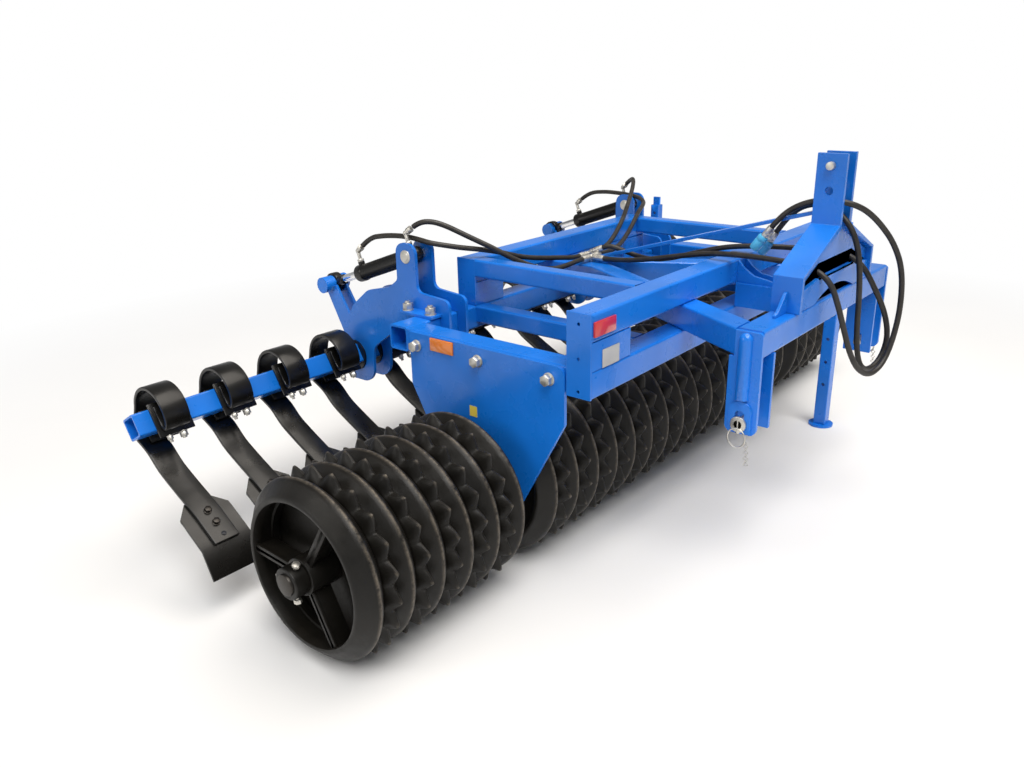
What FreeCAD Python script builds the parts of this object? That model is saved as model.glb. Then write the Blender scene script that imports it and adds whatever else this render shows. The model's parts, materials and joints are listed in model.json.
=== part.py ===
"""Land roller on a three-point hitch, with a hydraulic row of levelling tines.

Frame of the part: X runs along the roller's shaft, +X to the operator's right
seen from the hitch; Y runs from the hitch side (-Y) to the tine side (+Y); Z is
up. The origin is on the ground, below the middle of the roller's shaft.
All lengths are in millimetres and all angles in degrees.
"""
import FreeCAD, Part
import os
import re
from math import atan2, cos, degrees, hypot, pi, radians, sin, sqrt, tan

Vector = FreeCAD.Vector
ACROSS = Vector(1, 0, 0)
doc = FreeCAD.newDocument("LandRoller")

# ---------------------------------------------------------------- dimensions
# A number is a size that can be set by itself; text is worked out from others.
DIMENSIONS = [
    # frame, built of square tube on three levels
    ("tube", 80, "side of the main square tubes"),
    ("tube_wall", 6, "wall of the main tubes"),
    ("rail", 60, "side of the inner rails' square tube"),
    ("frame_bottom", 628, "underside of the lower beams above ground"),
    ("side_gap", 8, "middle gang's last ring pitch to the side plate's outer face"),
    ("half_width", "inner_rings / 2 * ring_pitch + side_gap",
     "middle of the machine to the outer face of a side plate"),
    ("upper_half", 541, "middle of the machine to the end of the upper tine beam"),
    ("hitch_beam_y", 372, "roller axis to the middle of the hitch-side beams"),
    ("tine_beam_y", 340, "roller axis to the middle of the tine-side beams"),
    ("cap_plate", 8, "thickness of end caps and spacer plates"),
    ("cap_hole_r", 5, "radius of the drain holes in the hitch-side end caps"),
    ("spacer_length", 187, "length of the hitch-side spacer plates"),
    ("tine_spacer_length", 140, "length of the tine-side spacer plates"),
    ("apex_half", 96, "half width of the block where the drawbars meet"),
    # hitch
    ("crossbeam_y", 686, "roller axis to the middle of the hitch crossbeam"),
    ("crossbeam_half", 509, "half length of the hitch crossbeam"),
    ("drawbar_width", 80, "width of the drawbars' tube"),
    ("drawbar_slope", 0.545, "sideways run of a drawbar per length run"),
    ("spine_half", 40, "half width of the tube between crossbeam and hitch beams"),
    ("gusset_half", 27, "middle of the machine to a gusset on that tube"),
    ("gusset", 10, "thickness of gussets and ribs"),
    ("link_plate", 12, "thickness of the lower link plates"),
    ("link_width", 96, "width of the lower link plates"),
    ("link_gap", 72, "clear gap between the two plates of a lower link"),
    ("link_pin_z", 513, "height of the lower link pins"),
    ("link_pin_y", 680, "roller axis to the lower link pins"),
    ("link_pin_r", 14, "radius of the lower link pins"),
    ("link_slot_r", 14.25, "half width of the lower link slot"),
    ("link_slot_rise", 26, "lift of the lower link slot above the pin"),
    ("link_drop", 33, "lower link pin to the bottom of its plates"),
    ("link_rib_r", 20, "radius of the half-round rib on the link's outer plate"),
    ("link_rib_z", 586, "height of the rib's lower end"),
    ("link_boss_r", 34, "radius of the doubler round the link's slot"),
    ("link_boss", 8, "thickness of that doubler"),
    ("top_pin_z", 1181, "height of the upper top link hole"),
    ("top_hole_drop", 74, "upper to lower top link hole"),
    ("top_pin_r", 12.5, "radius of the top link pin"),
    ("top_pin_proud", 16, "length of the top link pin outside a mast plate"),
    ("pin_play", 0.25, "radial play of the hitch pins in their holes"),
    ("mast_plate", 15, "thickness of the mast plates"),
    ("mast_gap", 58, "clear gap between the mast plates at the top link"),
    ("mast_width", 90, "width of the mast plates"),
    ("mast_proud", 10, "how far the mast stands in front of the crossbeam"),
    ("mast_top", 1217, "height of the mast"),
    ("mast_knee_z", 895, "height where the mast plates lean in"),
    ("mast_bend_z", 1007, "height where the mast plates stand up again"),
    ("mast_foot_x", 300, "middle of the machine to a mast foot's outer face"),
    ("web", 10, "thickness of the mast's web and its doubler"),
    ("web_hole_x", 137, "middle of the machine to a hose hole in the web"),
    ("web_hole_z", 886, "height of the hose holes in the web"),
    ("web_hole_r", 14, "half width of the hose holes in the web"),
    ("web_hole_drop", 14, "middle of a hose hole to the middle of its lower rounding"),
    ("web_hole_rise", 8, "middle of a hose hole to the middle of its upper rounding"),
    ("arch_half", 160, "half width of the arch under the web"),
    ("arch_rise", 34, "rise of the arch under the web"),
    ("stay_rear_z", 1045, "height of the mast stay's rear end"),
    ("stay_front_y", 158, "roller axis to the mast stay's front end"),
    ("stay_front_z", 808, "height of the mast stay's front end"),
    ("stay_depth", 12, "thickness of the mast stay"),
    ("stay_width", 40, "width of the mast stay"),
    # roller
    ("axle_z", 268, "height of the roller's shaft, the radius of the star rings"),
    ("shaft_r", 30, "radius of the roller's shaft"),
    ("shaft_proud", 40, "end of the shaft beyond the end rings' hub"),
    ("shaft_half", "outer_first + ring_pitch * (outer_rings - 0.5) + shaft_proud",
     "half length of the roller's shaft"),
    ("ring_pitch", 109, "distance between like rings"),
    ("ring_r", 255, "radius of the smooth rings at the ridge"),
    ("ring_edge_r", 213, "radius of the smooth rings at the rim's edges"),
    ("ring_inner_r", 200, "inner radius of the smooth rings' rim"),
    ("ring_width", 90, "width of a smooth ring's rim"),
    ("ring_nose", 5, "flat on a smooth ring's ridge"),
    ("ring_web", 16, "thickness of a smooth ring's web"),
    ("ring_spokes", 6, "spokes of an end ring"),
    ("spoke_width", 52, "width of an end ring's spokes"),
    ("hub_r", 52, "radius of the rings' hubs"),
    ("star_root_r", 234, "radius at the bottom of the star's teeth"),
    ("star_teeth", 21, "teeth on a star ring"),
    ("star_tip", 9, "flat on the tip of a star's tooth"),
    ("star_shoulder", 46, "width of a star's tooth halfway down"),
    ("star_width", 26, "thickness of the star's teeth"),
    ("star_web", 15, "thickness of the star's disc"),
    ("outer_gap", 96, "side plate's outer face to the first outer ring's middle"),
    ("outer_first", "half_width + outer_gap", "middle of the machine to the first outer ring"),
    ("outer_rings", 6, "smooth rings on each outer gang"),
    ("inner_rings", 16, "smooth rings on the middle gang"),
    ("seat_gap", 0.3, "clearance of a part slid on a shaft or pin"),
    ("collar_r", 44, "radius of the shaft's end collars"),
    ("collar_inset", 6, "end of the shaft beyond its collar"),
    # side plates and bearings
    ("side_plate", 12, "thickness of the side plates"),
    ("side_drop", 3, "side plate's top below the lower beams' top"),
    ("side_front_gap", 24, "lower tine beam to the side plate's edge"),
    ("side_back_gap", 6, "hitch-side beams to the side plate's edge"),
    ("side_shoulder_z", 533, "height where the side plates start to narrow"),
    ("side_foot_half", 113, "half width of the side plates at the bottom"),
    ("side_foot_z", 190, "height of the side plates' bottom edge"),
    ("bearing_flange", 150, "side of the bearings' square flange"),
    ("bearing_r", 62, "radius of the bearing housings"),
    ("bearing_length", 40, "length of the bearing housings"),
    # tine carrier
    ("pivot_y", 745, "roller axis to the tine shaft's axis"),
    ("pivot_z", 492, "height of the tine shaft's axis"),
    ("tine_tube", 70, "side of the tine shaft's square tube"),
    ("tine_turn", 30, "turn of the tine shaft about its own axis"),
    ("bush_wall", 6, "wall of the tine shaft's bushes over its corners"),
    ("bush_play", 0.08, "radial play of the bushes in the bracket plates"),
    ("bush_proud", 6, "bush beyond each face of its bracket plate"),
    ("shaft_end", 61, "outermost tine's edge to the end of the tine shaft"),
    ("tine_half", "outer_tine + (outer_tines - 1) * outer_tine_pitch + tine_width / 2 + shaft_end",
     "half length of the tine shaft"),
    ("bracket_plate", 12, "thickness of a bracket plate"),
    ("bracket_x", 623, "middle of the machine to the bracket's inner plate"),
    ("bracket_gap", 68, "clear gap between the two bracket plates"),
    ("bracket_outer", "bracket_x + 2 * bracket_plate + bracket_gap",
     "middle of the machine to the bracket's outer face"),
    ("lobe_r", 94, "radius of the bracket plates round the tine shaft"),
    ("lug_r", 45, "radius of the bracket plates round the cylinder's pin"),
    ("cylinder_pin_y", 450, "roller axis to the cylinder's base pin"),
    ("cylinder_pin_z", 890, "height of the cylinder's base pin"),
    ("lever_length", 281, "tine shaft's axis to the rod's pin"),
    ("lever_plate", 10, "thickness of a lever plate"),
    ("lever_width", 78, "width of the levers"),
    ("lever_gap", 34, "clear gap between the two lever plates"),
    ("boss_r", 29, "radius of the lever's bosses"),
    ("boss_long", 45, "length of the lever's outer boss"),
    ("boss_short", 28, "length of the lever's inner boss"),
    ("pin_r", 15, "radius of the cylinder pins"),
    ("eye_width", 30, "width of the cylinder's eyes"),
    ("eye_wall", 13, "wall of the rod's eye"),
    ("eye_play", 9, "play of the rod's eye about its pin"),
    ("barrel_r", 28, "radius of the cylinder's barrel"),
    ("barrel_length", 312, "base pin to the end of the barrel"),
    ("port_in", 16, "base pin to the base-end port along the barrel"),
    ("port_out", 283, "base pin to the rod-end port along the barrel"),
    ("port_rise", 50, "barrel to the knee of a port's elbow"),
    ("ferrule", 31, "knee of a port's elbow to the end of its ferrule"),
    ("hose_gap", 6, "play between a hose's end and the port that swings with the barrel"),
    ("rod_start", 160, "base pin to the piston end of the rod"),
    ("rod_r", 15, "radius of the cylinder's rod"),
    # tines
    ("tine_width", 80, "width of the tine's flat bar"),
    ("tine_thick", 11, "thickness of the tine's flat bar"),
    ("coil_r", 94, "outer radius of the tine's coil"),
    ("coil_rise", 16, "tine shaft's axis to the coil's middle"),
    ("shank_shift", 32, "sideways step from the coil to the shank"),
    ("tine_gap", 60, "bracket to the nearest coil"),
    ("outer_tine", "bracket_outer + tine_gap + tine_width / 2",
     "middle of the machine to the first outer tine"),
    ("outer_tine_pitch", 222, "distance between the outer tines"),
    ("outer_tines", 4, "tines outside each bracket"),
    ("inner_tines", 7, "tines between the brackets"),
    ("stand_clear", 11, "tine-side stand to the nearest blade"),
    ("side_tine", "tine_stand_x + tine_stand_tube / 2 + stand_clear + blade_width / 2"
     " - shank_shift", "middle of the machine to the outer tine next to the stand"),
    ("side_tine_pitch", "(outer_tine - side_tine) / (outer_tines - 1) + outer_tine_pitch",
     "distance between the outer tines on the stands' side"),
    ("inner_tine_pitch", "2 * bracket_x / inner_tines", "distance between the inner tines"),
    ("blade_width", 160, "width of the tine's blade"),
    ("blade_thick", 8, "thickness of the tine's blade"),
    ("blade_cut", 40, "corner cut off the blade's upper end"),
    # stands
    ("stand_x", 818, "middle of the machine to the stand"),
    ("stand_packer", 6, "packing block between the hitch beams and the stand's sleeve"),
    ("stand_tube", 50, "side of the stand leg's tube"),
    ("stand_play", 0.5, "clearance of the leg in its sleeve"),
    ("stand_wall", 5, "wall of the stand's sleeve"),
    ("stand_top", 940, "height of the stand leg"),
    ("leg_hole_r", 7, "radius of the pin holes in the parking legs"),
    ("leg_hole_z", 188, "height of the stand leg's lowest pin hole"),
    ("leg_hole_pitch", 100, "distance between the stand leg's pin holes"),
    ("foot_r", 50, "radius of the stand's foot"),
    ("foot_thick", 8, "thickness of the stand's foot"),
    ("tine_stand_x", 838, "middle of the machine to the tine-side stand"),
    ("tine_stand_tube", 40, "side of the tine-side stand leg's tube"),
    ("tine_stand_packer", 7, "packing block between the tine beam and that stand's sleeve"),
    ("tine_stand_y", "tine_beam_y + tube / 2 + tine_stand_packer + stand_wall + stand_play"
     " + tine_stand_tube / 2", "roller axis to the tine-side stand"),
    ("tine_foot", 110, "length of the tine-side stand's foot"),
    # hoses
    ("hose_r", 9, "radius of the hoses"),
]
sheet = doc.addObject("Spreadsheet::Sheet", "Sizes")
for row, (alias, value, note) in enumerate(DIMENSIONS, start=1):
    sheet.set(f"A{row}", note)
    sheet.setAlias(f"B{row}", alias)
for formulas in (False, True):
    for row, (alias, value, note) in enumerate(DIMENSIONS, start=1):
        if isinstance(value, str) == formulas:
            sheet.set(f"B{row}", "=" + value if formulas else str(value))
doc.recompute()
ALIASES = {alias for alias, _, _ in DIMENSIONS}


class Size:
    """Reads a driving dimension from the sheet: size.tube, size.rail and so on."""

    def __getattr__(self, alias):
        return float(sheet.get(alias))


size = Size()


def bound(text):
    """Expression text with every alias pointed at the sheet."""
    return re.sub(r"[a-z]\w*", lambda word: "Sizes." + word.group()
                  if word.group() in ALIASES else word.group(), text)


# ------------------------------------------------------------------- helpers
parts = []


def keep(obj, label):
    """Names a finished sub-part and puts it on the list of parts to write."""
    obj.Label = label
    parts.append(obj)
    return obj


def set_place(obj, base):
    for axis, text in zip("xyz", base):
        obj.setExpression("Placement.Base." + axis, bound(text))


def box(name, base, extent):
    """A block from its lowest corner and its lengths along X, Y and Z."""
    obj = doc.addObject("Part::Box", name)
    for prop, text in zip(("Length", "Width", "Height"), extent):
        obj.setExpression(prop, bound(text))
    set_place(obj, base)
    return obj


def rod(name, base, radius, length, along="x"):
    """A round bar from the middle of its first end, running along +X, +Y or +Z."""
    obj = doc.addObject("Part::Cylinder", name)
    obj.setExpression("Radius", bound(radius))
    obj.setExpression("Height", bound(length))
    turn = {"x": FreeCAD.Rotation(Vector(0, 1, 0), 90),
            "y": FreeCAD.Rotation(Vector(1, 0, 0), -90), "z": FreeCAD.Rotation()}
    obj.Placement = FreeCAD.Placement(Vector(), turn[along])
    set_place(obj, base)
    return obj


def cut(name, base, tool):
    obj = doc.addObject("Part::Cut", name)
    obj.Base, obj.Tool = base, tool
    return obj


def fuse(name, *pieces):
    obj = doc.addObject("Part::MultiFuse", name)
    obj.Shapes = list(pieces)
    return obj


def group(name, *pieces):
    """Solids that lie apart and share a node."""
    obj = doc.addObject("Part::Compound", name)
    obj.Links = list(pieces)
    return obj


def mirrored(obj, name):
    """The same piece on the other side of the machine."""
    twin = doc.addObject("Part::Mirroring", name)
    twin.Source = obj
    twin.Base, twin.Normal = Vector(), Vector(1, 0, 0)
    return twin


def pair(label, maker):
    """A left piece and its mirror image on the right, each a node of its own."""
    left = maker(label)
    keep(mirrored(left, label + "_mirror"), label + "_right")
    return keep(left, label + "_left")


def both(label, maker):
    """A left piece and its mirror image on the right in one node."""
    left = maker(label + "_one")
    return keep(group(label, left, mirrored(left, label + "_two")), label)


def hollow(name, base, extent, wall, along):
    """A square tube: a block with its bore cut right through along one axis."""
    outer = box(name + "_outer", base, extent)
    bore_base, bore_extent = [], []
    for axis, start, length in zip("xyz", base, extent):
        inset = "0" if axis == along else wall
        bore_base.append(f"({start}) + {inset}")
        bore_extent.append(f"({length}) - 2 * {inset}")
    return cut(name, outer, box(name + "_bore", bore_base, bore_extent))


def plate(name, corners, thickness, along="x", start="0", rounds=(), holes=()):
    """A flat plate: an outline padded along X, Y or Z from the given start.

    corners and rounds are numbers in the outline's plane, (y, z) for a plate
    that faces along X, (x, z) along Y and (x, y) along Z; rounds is a list of
    (corner index, radius) and holes a list of (first, second, radius).
    """
    body = doc.addObject("PartDesign::Body", name)
    sketch = body.newObject("Sketcher::SketchObject", name + "_outline")
    role = {"x": "YZ_Plane", "y": "XZ_Plane", "z": "XY_Plane"}[along]
    plane = next(f for f in body.Origin.OriginFeatures if f.Role == role)
    sketch.AttachmentSupport = [(plane, "")]
    sketch.MapMode = "FlatFace"
    for piece in outline_edges(corners, dict(rounds)):
        sketch.addGeometry(piece, False)
    for first, second, radius in holes:
        sketch.addGeometry(Part.Circle(Vector(first, second), Vector(0, 0, 1), radius), False)
    doc.recompute()
    pad = body.newObject("PartDesign::Pad", name + "_pad")
    pad.Profile = sketch
    pad.setExpression("Length", bound(thickness))
    pad.Reversed = along == "y"
    set_place(body, [start if axis == along else "0" for axis in "xyz"])
    return body


def outline_edges(corners, rounds):
    """Lines along a closed outline, with an arc at each rounded corner."""
    points = [Vector(a, b) for a, b in corners]
    count = len(points)
    starts, ends, arcs = [], [], []
    for i, corner in enumerate(points):
        back = (points[i - 1] - corner).normalize()
        ahead = (points[(i + 1) % count] - corner).normalize()
        radius = rounds.get(i, 0)
        if not radius:
            starts.append(corner)
            ends.append(corner)
            arcs.append(None)
            continue
        half = back.getAngle(ahead) / 2
        reach = radius / tan(half)
        bisector = (back + ahead).normalize()
        middle = corner + bisector * (radius / sin(half) - radius)
        ends.append(corner + back * reach)
        starts.append(corner + ahead * reach)
        arcs.append(Part.Arc(corner + back * reach, middle, corner + ahead * reach))
    edges = []
    for i in range(count):
        if arcs[i]:
            edges.append(arcs[i])
        following = (i + 1) % count
        if starts[i].distanceToPoint(ends[following]) > 1e-6:
            edges.append(Part.LineSegment(starts[i], ends[following]))
    return edges


def shaped(name, shape):
    """A piece whose shape is worked out from the sheet's sizes."""
    obj = doc.addObject("Part::Feature", name)
    obj.Shape = shape
    return obj


def prism(points, run):
    """A solid swept from a closed outline along a straight run."""
    return Part.Face(Part.makePolygon(points + points[:1])).extrude(run)


def bar(start, end, radius):
    """A round solid bar between two points."""
    return Part.makeCylinder(radius, (end - start).Length, start, end - start)


# --------------------------------------------------------------------- frame
LEVEL = {0: "frame_bottom", 1: "frame_bottom + tube", 2: "frame_bottom + 2 * tube",
         3: "frame_bottom + 3 * tube"}


def make_beam(label, y, level, half):
    keep(hollow(label, (f"-({half})", f"{y} - tube / 2", LEVEL[level]),
                (f"2 * ({half})", "tube", "tube"), "tube_wall", "x"), label)


make_beam("beam_upper_hitch", "-hitch_beam_y", 2, "half_width - cap_plate")
make_beam("beam_lower_hitch", "-hitch_beam_y", 0, "half_width - cap_plate")
make_beam("beam_upper_tine", "tine_beam_y", 2, "upper_half - cap_plate")
make_beam("beam_lower_tine", "tine_beam_y", 0, "half_width - side_plate - 0.3")


def make_hitch_cap(name):
    """The tall end cap over both hitch-side beams, with three drain holes."""
    cap = box(name + "_plate", ("-half_width", "-hitch_beam_y - tube / 2", LEVEL[0]),
              ("cap_plate", "tube", "3 * tube"))
    for tag, height in (("a", "0.23"), ("b", "1.4"), ("c", "2.61")):
        hole = rod(name + "_hole_" + tag, ("-half_width - 1", "-hitch_beam_y",
                                           f"{LEVEL[0]} + {height} * tube"),
                   "cap_hole_r", "cap_plate + 2")
        cap = cut(name + "_" + tag, cap, hole)
    return cap


both("caps_hitch", make_hitch_cap)
both("caps_tine", lambda name: box(
    name, ("-upper_half", "tine_beam_y - tube / 2", LEVEL[1]), ("cap_plate", "tube", "2 * tube")))
both("spacers_hitch", lambda name: box(
    name, ("-half_width + cap_plate", "-hitch_beam_y - tube / 2", LEVEL[1]),
    ("spacer_length", "cap_plate", "tube")))
both("spacers_tine", lambda name: box(
    name, ("-upper_half + cap_plate", "tine_beam_y - tube / 2", LEVEL[1]),
    ("tine_spacer_length", "cap_plate", "tube")))
keep(box("spacer_middle", ("-apex_half", "tine_beam_y - tube / 2", LEVEL[1]),
         ("2 * apex_half", "tube", "tube")), "spacer_middle")

RAIL_LENGTH = "hitch_beam_y + tine_beam_y - tube"
for level, label in ((3, "rails_upper"), (1, "rails_lower")):
    both(label, lambda name: hollow(
        name, ("-upper_half", "-hitch_beam_y + tube / 2", f"{LEVEL[level]} - rail"),
        ("rail", RAIL_LENGTH, "rail"), "tube_wall", "y"))
both("rails_outer", lambda name: hollow(
    name, ("-half_width + side_plate", "-hitch_beam_y + tube / 2", LEVEL[0]),
    ("tube", RAIL_LENGTH, "tube"), "tube_wall", "y"))


def make_drawbar(name):
    """A tube from the crossbeam's end to the block in the middle of the tine side."""
    width = size.drawbar_width / cos(atan2(size.drawbar_slope, 1))
    back = -size.crossbeam_y + size.tube / 2
    front = size.tine_beam_y - size.tube / 2
    outer, apex = -size.crossbeam_half - size.link_plate + 2, -size.apex_half
    corners = [(outer, back), (outer + width, back),
               (0, back - (outer + width) / size.drawbar_slope), (0, front), (apex, front),
               (apex, back + (apex - outer) / size.drawbar_slope)]
    return plate(name, corners, "tube", "z", LEVEL[1])


pair("drawbar", make_drawbar)
keep(hollow("hitch_crossbeam", ("-crossbeam_half", "-crossbeam_y - tube / 2", LEVEL[1]),
            ("2 * crossbeam_half", "tube", "tube"), "tube_wall", "x"), "hitch_crossbeam")


def make_spine():
    """The tube from the crossbeam to the hitch beams, with two curved gussets."""
    tube = box("spine_tube", ("-spine_half", "-crossbeam_y + tube / 2", LEVEL[1]),
               ("2 * spine_half", "crossbeam_y - hitch_beam_y - tube", "tube"))
    y, z = -size.hitch_beam_y - size.tube / 2, size.frame_bottom + 2 * size.tube
    top = z + size.tube - 4
    curve = [(y - 24, top - 26), (y - 58, top - 48), (y - 105, z + 20), (y - 150, z + 10)]
    solids = []
    for sign in (-1, 1):
        x = sign * size.gusset_half - size.gusset / 2
        points = [Vector(x, a, b) for a, b in
                  [(y, z - 1), (y, top)] + curve + [(y - 165, z - 1)]]
        solids.append(prism(points, Vector(size.gusset, 0, 0)))
    return fuse("spine", tube, *[shaped(f"spine_gusset_{k}", s) for k, s in enumerate(solids)])


keep(make_spine(), "spine")


# --------------------------------------------------------------------- hitch
def link_plate(name, start, thickness):
    """The outer plate of a lower link, stepped round the drawbar's foot."""
    y, z, half = -size.link_pin_y, size.link_pin_z, size.link_width / 2
    top = size.frame_bottom + 2 * size.tube - 4
    under = size.frame_bottom + size.tube - 0.3
    front = -size.crossbeam_y + size.tube / 2 - 0.3
    foot = z - size.link_drop
    return plate(name, [(y - half, foot), (y + half, foot), (y + half, under),
                        (front, under), (front, top), (y - half, top)], thickness, "x", start,
                 rounds=[(0, 22), (1, 22), (5, 12)])


def make_link(name):
    """Two plates on the crossbeam's end, a rib and a doubler round the slot."""
    face = size.crossbeam_half + size.link_plate
    outer = link_plate(name + "_outer", "-crossbeam_half - link_plate", "link_plate")
    inner = box(name + "_inner", ("-crossbeam_half + link_gap", "-link_pin_y - link_width / 2",
                                  "link_pin_z - link_drop"),
                ("link_plate", "link_width", f"{LEVEL[1]} - link_pin_z + link_drop"))
    y, pin = -size.link_pin_y, size.link_pin_z
    top = size.frame_bottom + 2 * size.tube - 8
    rib = bar(Vector(-face, y, size.link_rib_z), Vector(-face, y, top - size.link_rib_r),
              size.link_rib_r).fuse(Part.makeSphere(
                  size.link_rib_r, Vector(-face, y, top - size.link_rib_r)))
    keep_side = Part.makeBox(60, 200, 600, Vector(-face - 60, y - 100, pin - 60))
    boss = Part.makeBox(size.link_boss, 2 * size.link_boss_r, 60,
                        Vector(-face - size.link_boss, y - size.link_boss_r,
                               pin - size.link_drop + 6))
    crown = Part.makeCylinder(size.link_boss_r, size.link_boss,
                              Vector(-face - size.link_boss, y, pin - size.link_drop + 66),
                              ACROSS)
    slot_parts = []
    run = "link_gap + 2 * link_plate + 4 * link_boss"
    start = "-crossbeam_half - link_plate - 2 * link_boss"
    for tag, lift in (("low", "0"), ("high", "link_slot_rise")):
        slot_parts.append(rod(name + tag, (start, "-link_pin_y", f"link_pin_z + {lift}"),
                              "link_slot_r", run))
    slot_parts.append(box(name + "_mid", (start, "-link_pin_y - link_slot_r", "link_pin_z"),
                          (run, "2 * link_slot_r", "link_slot_rise")))
    body = fuse(name + "_body", outer, inner, shaped(name + "_rib", rib.common(keep_side)),
                shaped(name + "_boss", boss.fuse(crown)))
    return cut(name, body, fuse(name + "_slot", *slot_parts))


both("link_brackets", make_link)
both("link_pins", lambda name: rod(
    name, ("-crossbeam_half - link_plate - link_boss - 14", "-link_pin_y", "link_pin_z"),
    "link_pin_r", "link_gap + 2 * link_plate + link_boss + 24"))

MAST_BACK = "-crossbeam_y - tube / 2 - mast_proud"
MAST_MID = f"{MAST_BACK} + mast_width / 2"


def make_mast_plate(name):
    """A bent flat bar from its foot on the crossbeam up to the top link."""
    foot, top = size.mast_foot_x, size.mast_gap / 2 + size.mast_plate
    low = size.frame_bottom + 2 * size.tube
    t, knee, bend = size.mast_plate, size.mast_knee_z, size.mast_bend_z
    bar_outline = [(-foot, low), (-foot + t, low), (-foot + t + 4, knee - t * 0.3),
                   (-top + t, bend - t * 0.75), (-top + t, size.mast_top),
                   (-top, size.mast_top), (-top, bend), (-foot + 4, knee)]
    blank = plate(name + "_bar", bar_outline, "mast_width", "y", MAST_BACK)
    for tag, height in (("upper", "top_pin_z"), ("lower", "top_pin_z - top_hole_drop")):
        hole = rod(f"{name}_{tag}", ("-mast_foot_x", MAST_MID, height),
                   "top_pin_r + pin_play", "mast_foot_x")
        blank = cut(f"{name}_{tag}_cut", blank, hole)
    rib = plate(name + "_rib", [(-foot, low), (-foot, low + 62), (-foot - 14, low + 58),
                                (-foot - 34, low + 36), (-foot - 58, low + 12),
                                (-foot - 74, low + 8), (-foot - 74, low)],
                "gusset", "y", f"{MAST_MID} - gusset / 2")
    return fuse(name, blank, rib)


pair("mast_plate", make_mast_plate)
keep(rod("top_link_pin", ("-mast_gap / 2 - mast_plate - top_pin_proud", MAST_MID, "top_pin_z"),
         "top_pin_r", "mast_gap + 2 * (mast_plate + top_pin_proud)"), "top_link_pin")


def make_web():
    """The web between the mast plates, its doubler, an arch and two hose holes."""
    low = size.frame_bottom + 2 * size.tube
    foot = size.mast_foot_x - size.mast_plate - 0.3
    top = size.mast_gap / 2 - 0.3
    knee, bend = size.mast_knee_z, size.mast_bend_z
    half, rise = size.arch_half, size.arch_rise
    radius = (half ** 2 + rise ** 2) / (2 * rise)
    back = -size.crossbeam_y - size.tube / 2
    upper = [(-foot, low), (foot, low), (foot - 4, knee - 11), (top, bend - 18),
             (-top, bend - 18), (-foot + 4, knee - 11)]
    lower = [(-foot, low), (foot, low), (foot - 3, knee - 48), (150, knee - 30),
             (-150, knee - 30), (-foot + 3, knee - 48)]
    arch = Part.makeCylinder(radius, 4 * size.web,
                             Vector(0, back - size.web, low + rise - radius), Vector(0, 1, 0))
    solid = None
    for outline, start in ((upper, back + size.web), (lower, back)):
        layer = prism([Vector(x, start, z) for x, z in outline], Vector(0, size.web, 0))
        solid = layer if solid is None else solid.fuse(layer)
    for sign in (-1, 1):
        for lift in (-size.web_hole_drop, size.web_hole_rise):
            solid = solid.cut(Part.makeCylinder(
                size.web_hole_r, 4 * size.web,
                Vector(sign * size.web_hole_x, back - size.web, size.web_hole_z + lift),
                Vector(0, 1, 0)))
        solid = solid.cut(Part.makeBox(
            2 * size.web_hole_r, 4 * size.web, size.web_hole_drop + size.web_hole_rise,
            Vector(sign * size.web_hole_x - size.web_hole_r, back - size.web,
                   size.web_hole_z - size.web_hole_drop)))
    return shaped("mast_web", solid.cut(arch).removeSplitter())


keep(make_web(), "mast_web")


def make_stay():
    """A flat bar that slopes from the mast down to the middle of the frame."""
    low = size.frame_bottom + 2 * size.tube
    rear = (-size.crossbeam_y + size.tube / 2 - 10, size.stay_rear_z)
    front = (size.stay_front_y, size.stay_front_z)
    fall = (rear[1] - front[1]) / (front[0] - rear[0])
    corners = [rear, (rear[0], rear[1] - size.stay_depth),
               (front[0] - 30, front[1] + 30 * fall - size.stay_depth),
               (front[0] - 20, low), (front[0], low), front]
    return plate("mast_stay", corners, "stay_width", "x", "-stay_width / 2")


keep(make_stay(), "mast_stay")


def make_side_plate(name):
    front = size.tine_beam_y - size.tube / 2 - size.side_front_gap
    back = -size.hitch_beam_y + size.tube / 2 + size.side_back_gap
    middle, foot_half = (front + back) / 2, size.side_foot_half
    top = size.frame_bottom + size.tube - size.side_drop
    corners = [(middle - foot_half, size.side_foot_z), (middle + foot_half, size.side_foot_z),
               (front, size.side_shoulder_z), (front, top), (back, top),
               (back, size.side_shoulder_z)]
    return plate(name, corners, "side_plate", "x", "-half_width",
                 rounds=[(0, 60), (1, 60), (2, 30), (4, 30), (5, 30)],
                 holes=[(0, size.axle_z, size.shaft_r + 3)])


pair("side_plate", make_side_plate)


def make_bearing(name):
    flange = box(name + "_flange", ("-half_width - 14", "-bearing_flange / 2",
                                    "axle_z - bearing_flange / 2"),
                 ("14", "bearing_flange", "bearing_flange"))
    boss = rod(name + "_boss", ("-half_width - bearing_length", "0", "axle_z"),
               "bearing_r", "bearing_length")
    bore = rod(name + "_bore", ("-half_width - 2 * bearing_length", "0", "axle_z"),
               "shaft_r + 0.05", "3 * bearing_length")
    return cut(name, fuse(name + "_body", flange, boss), bore)


both("bearings", make_bearing)


# -------------------------------------------------------------------- roller
def spun(section, middle):
    """A solid of revolution about the roller's axis from (x, radius) corners."""
    points = [Vector(middle + x, 0, size.axle_z + r) for x, r in section]
    face = Part.Face(Part.makePolygon(points + points[:1]))
    return face.revolve(Vector(0, 0, size.axle_z), ACROSS, 360)


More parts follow.
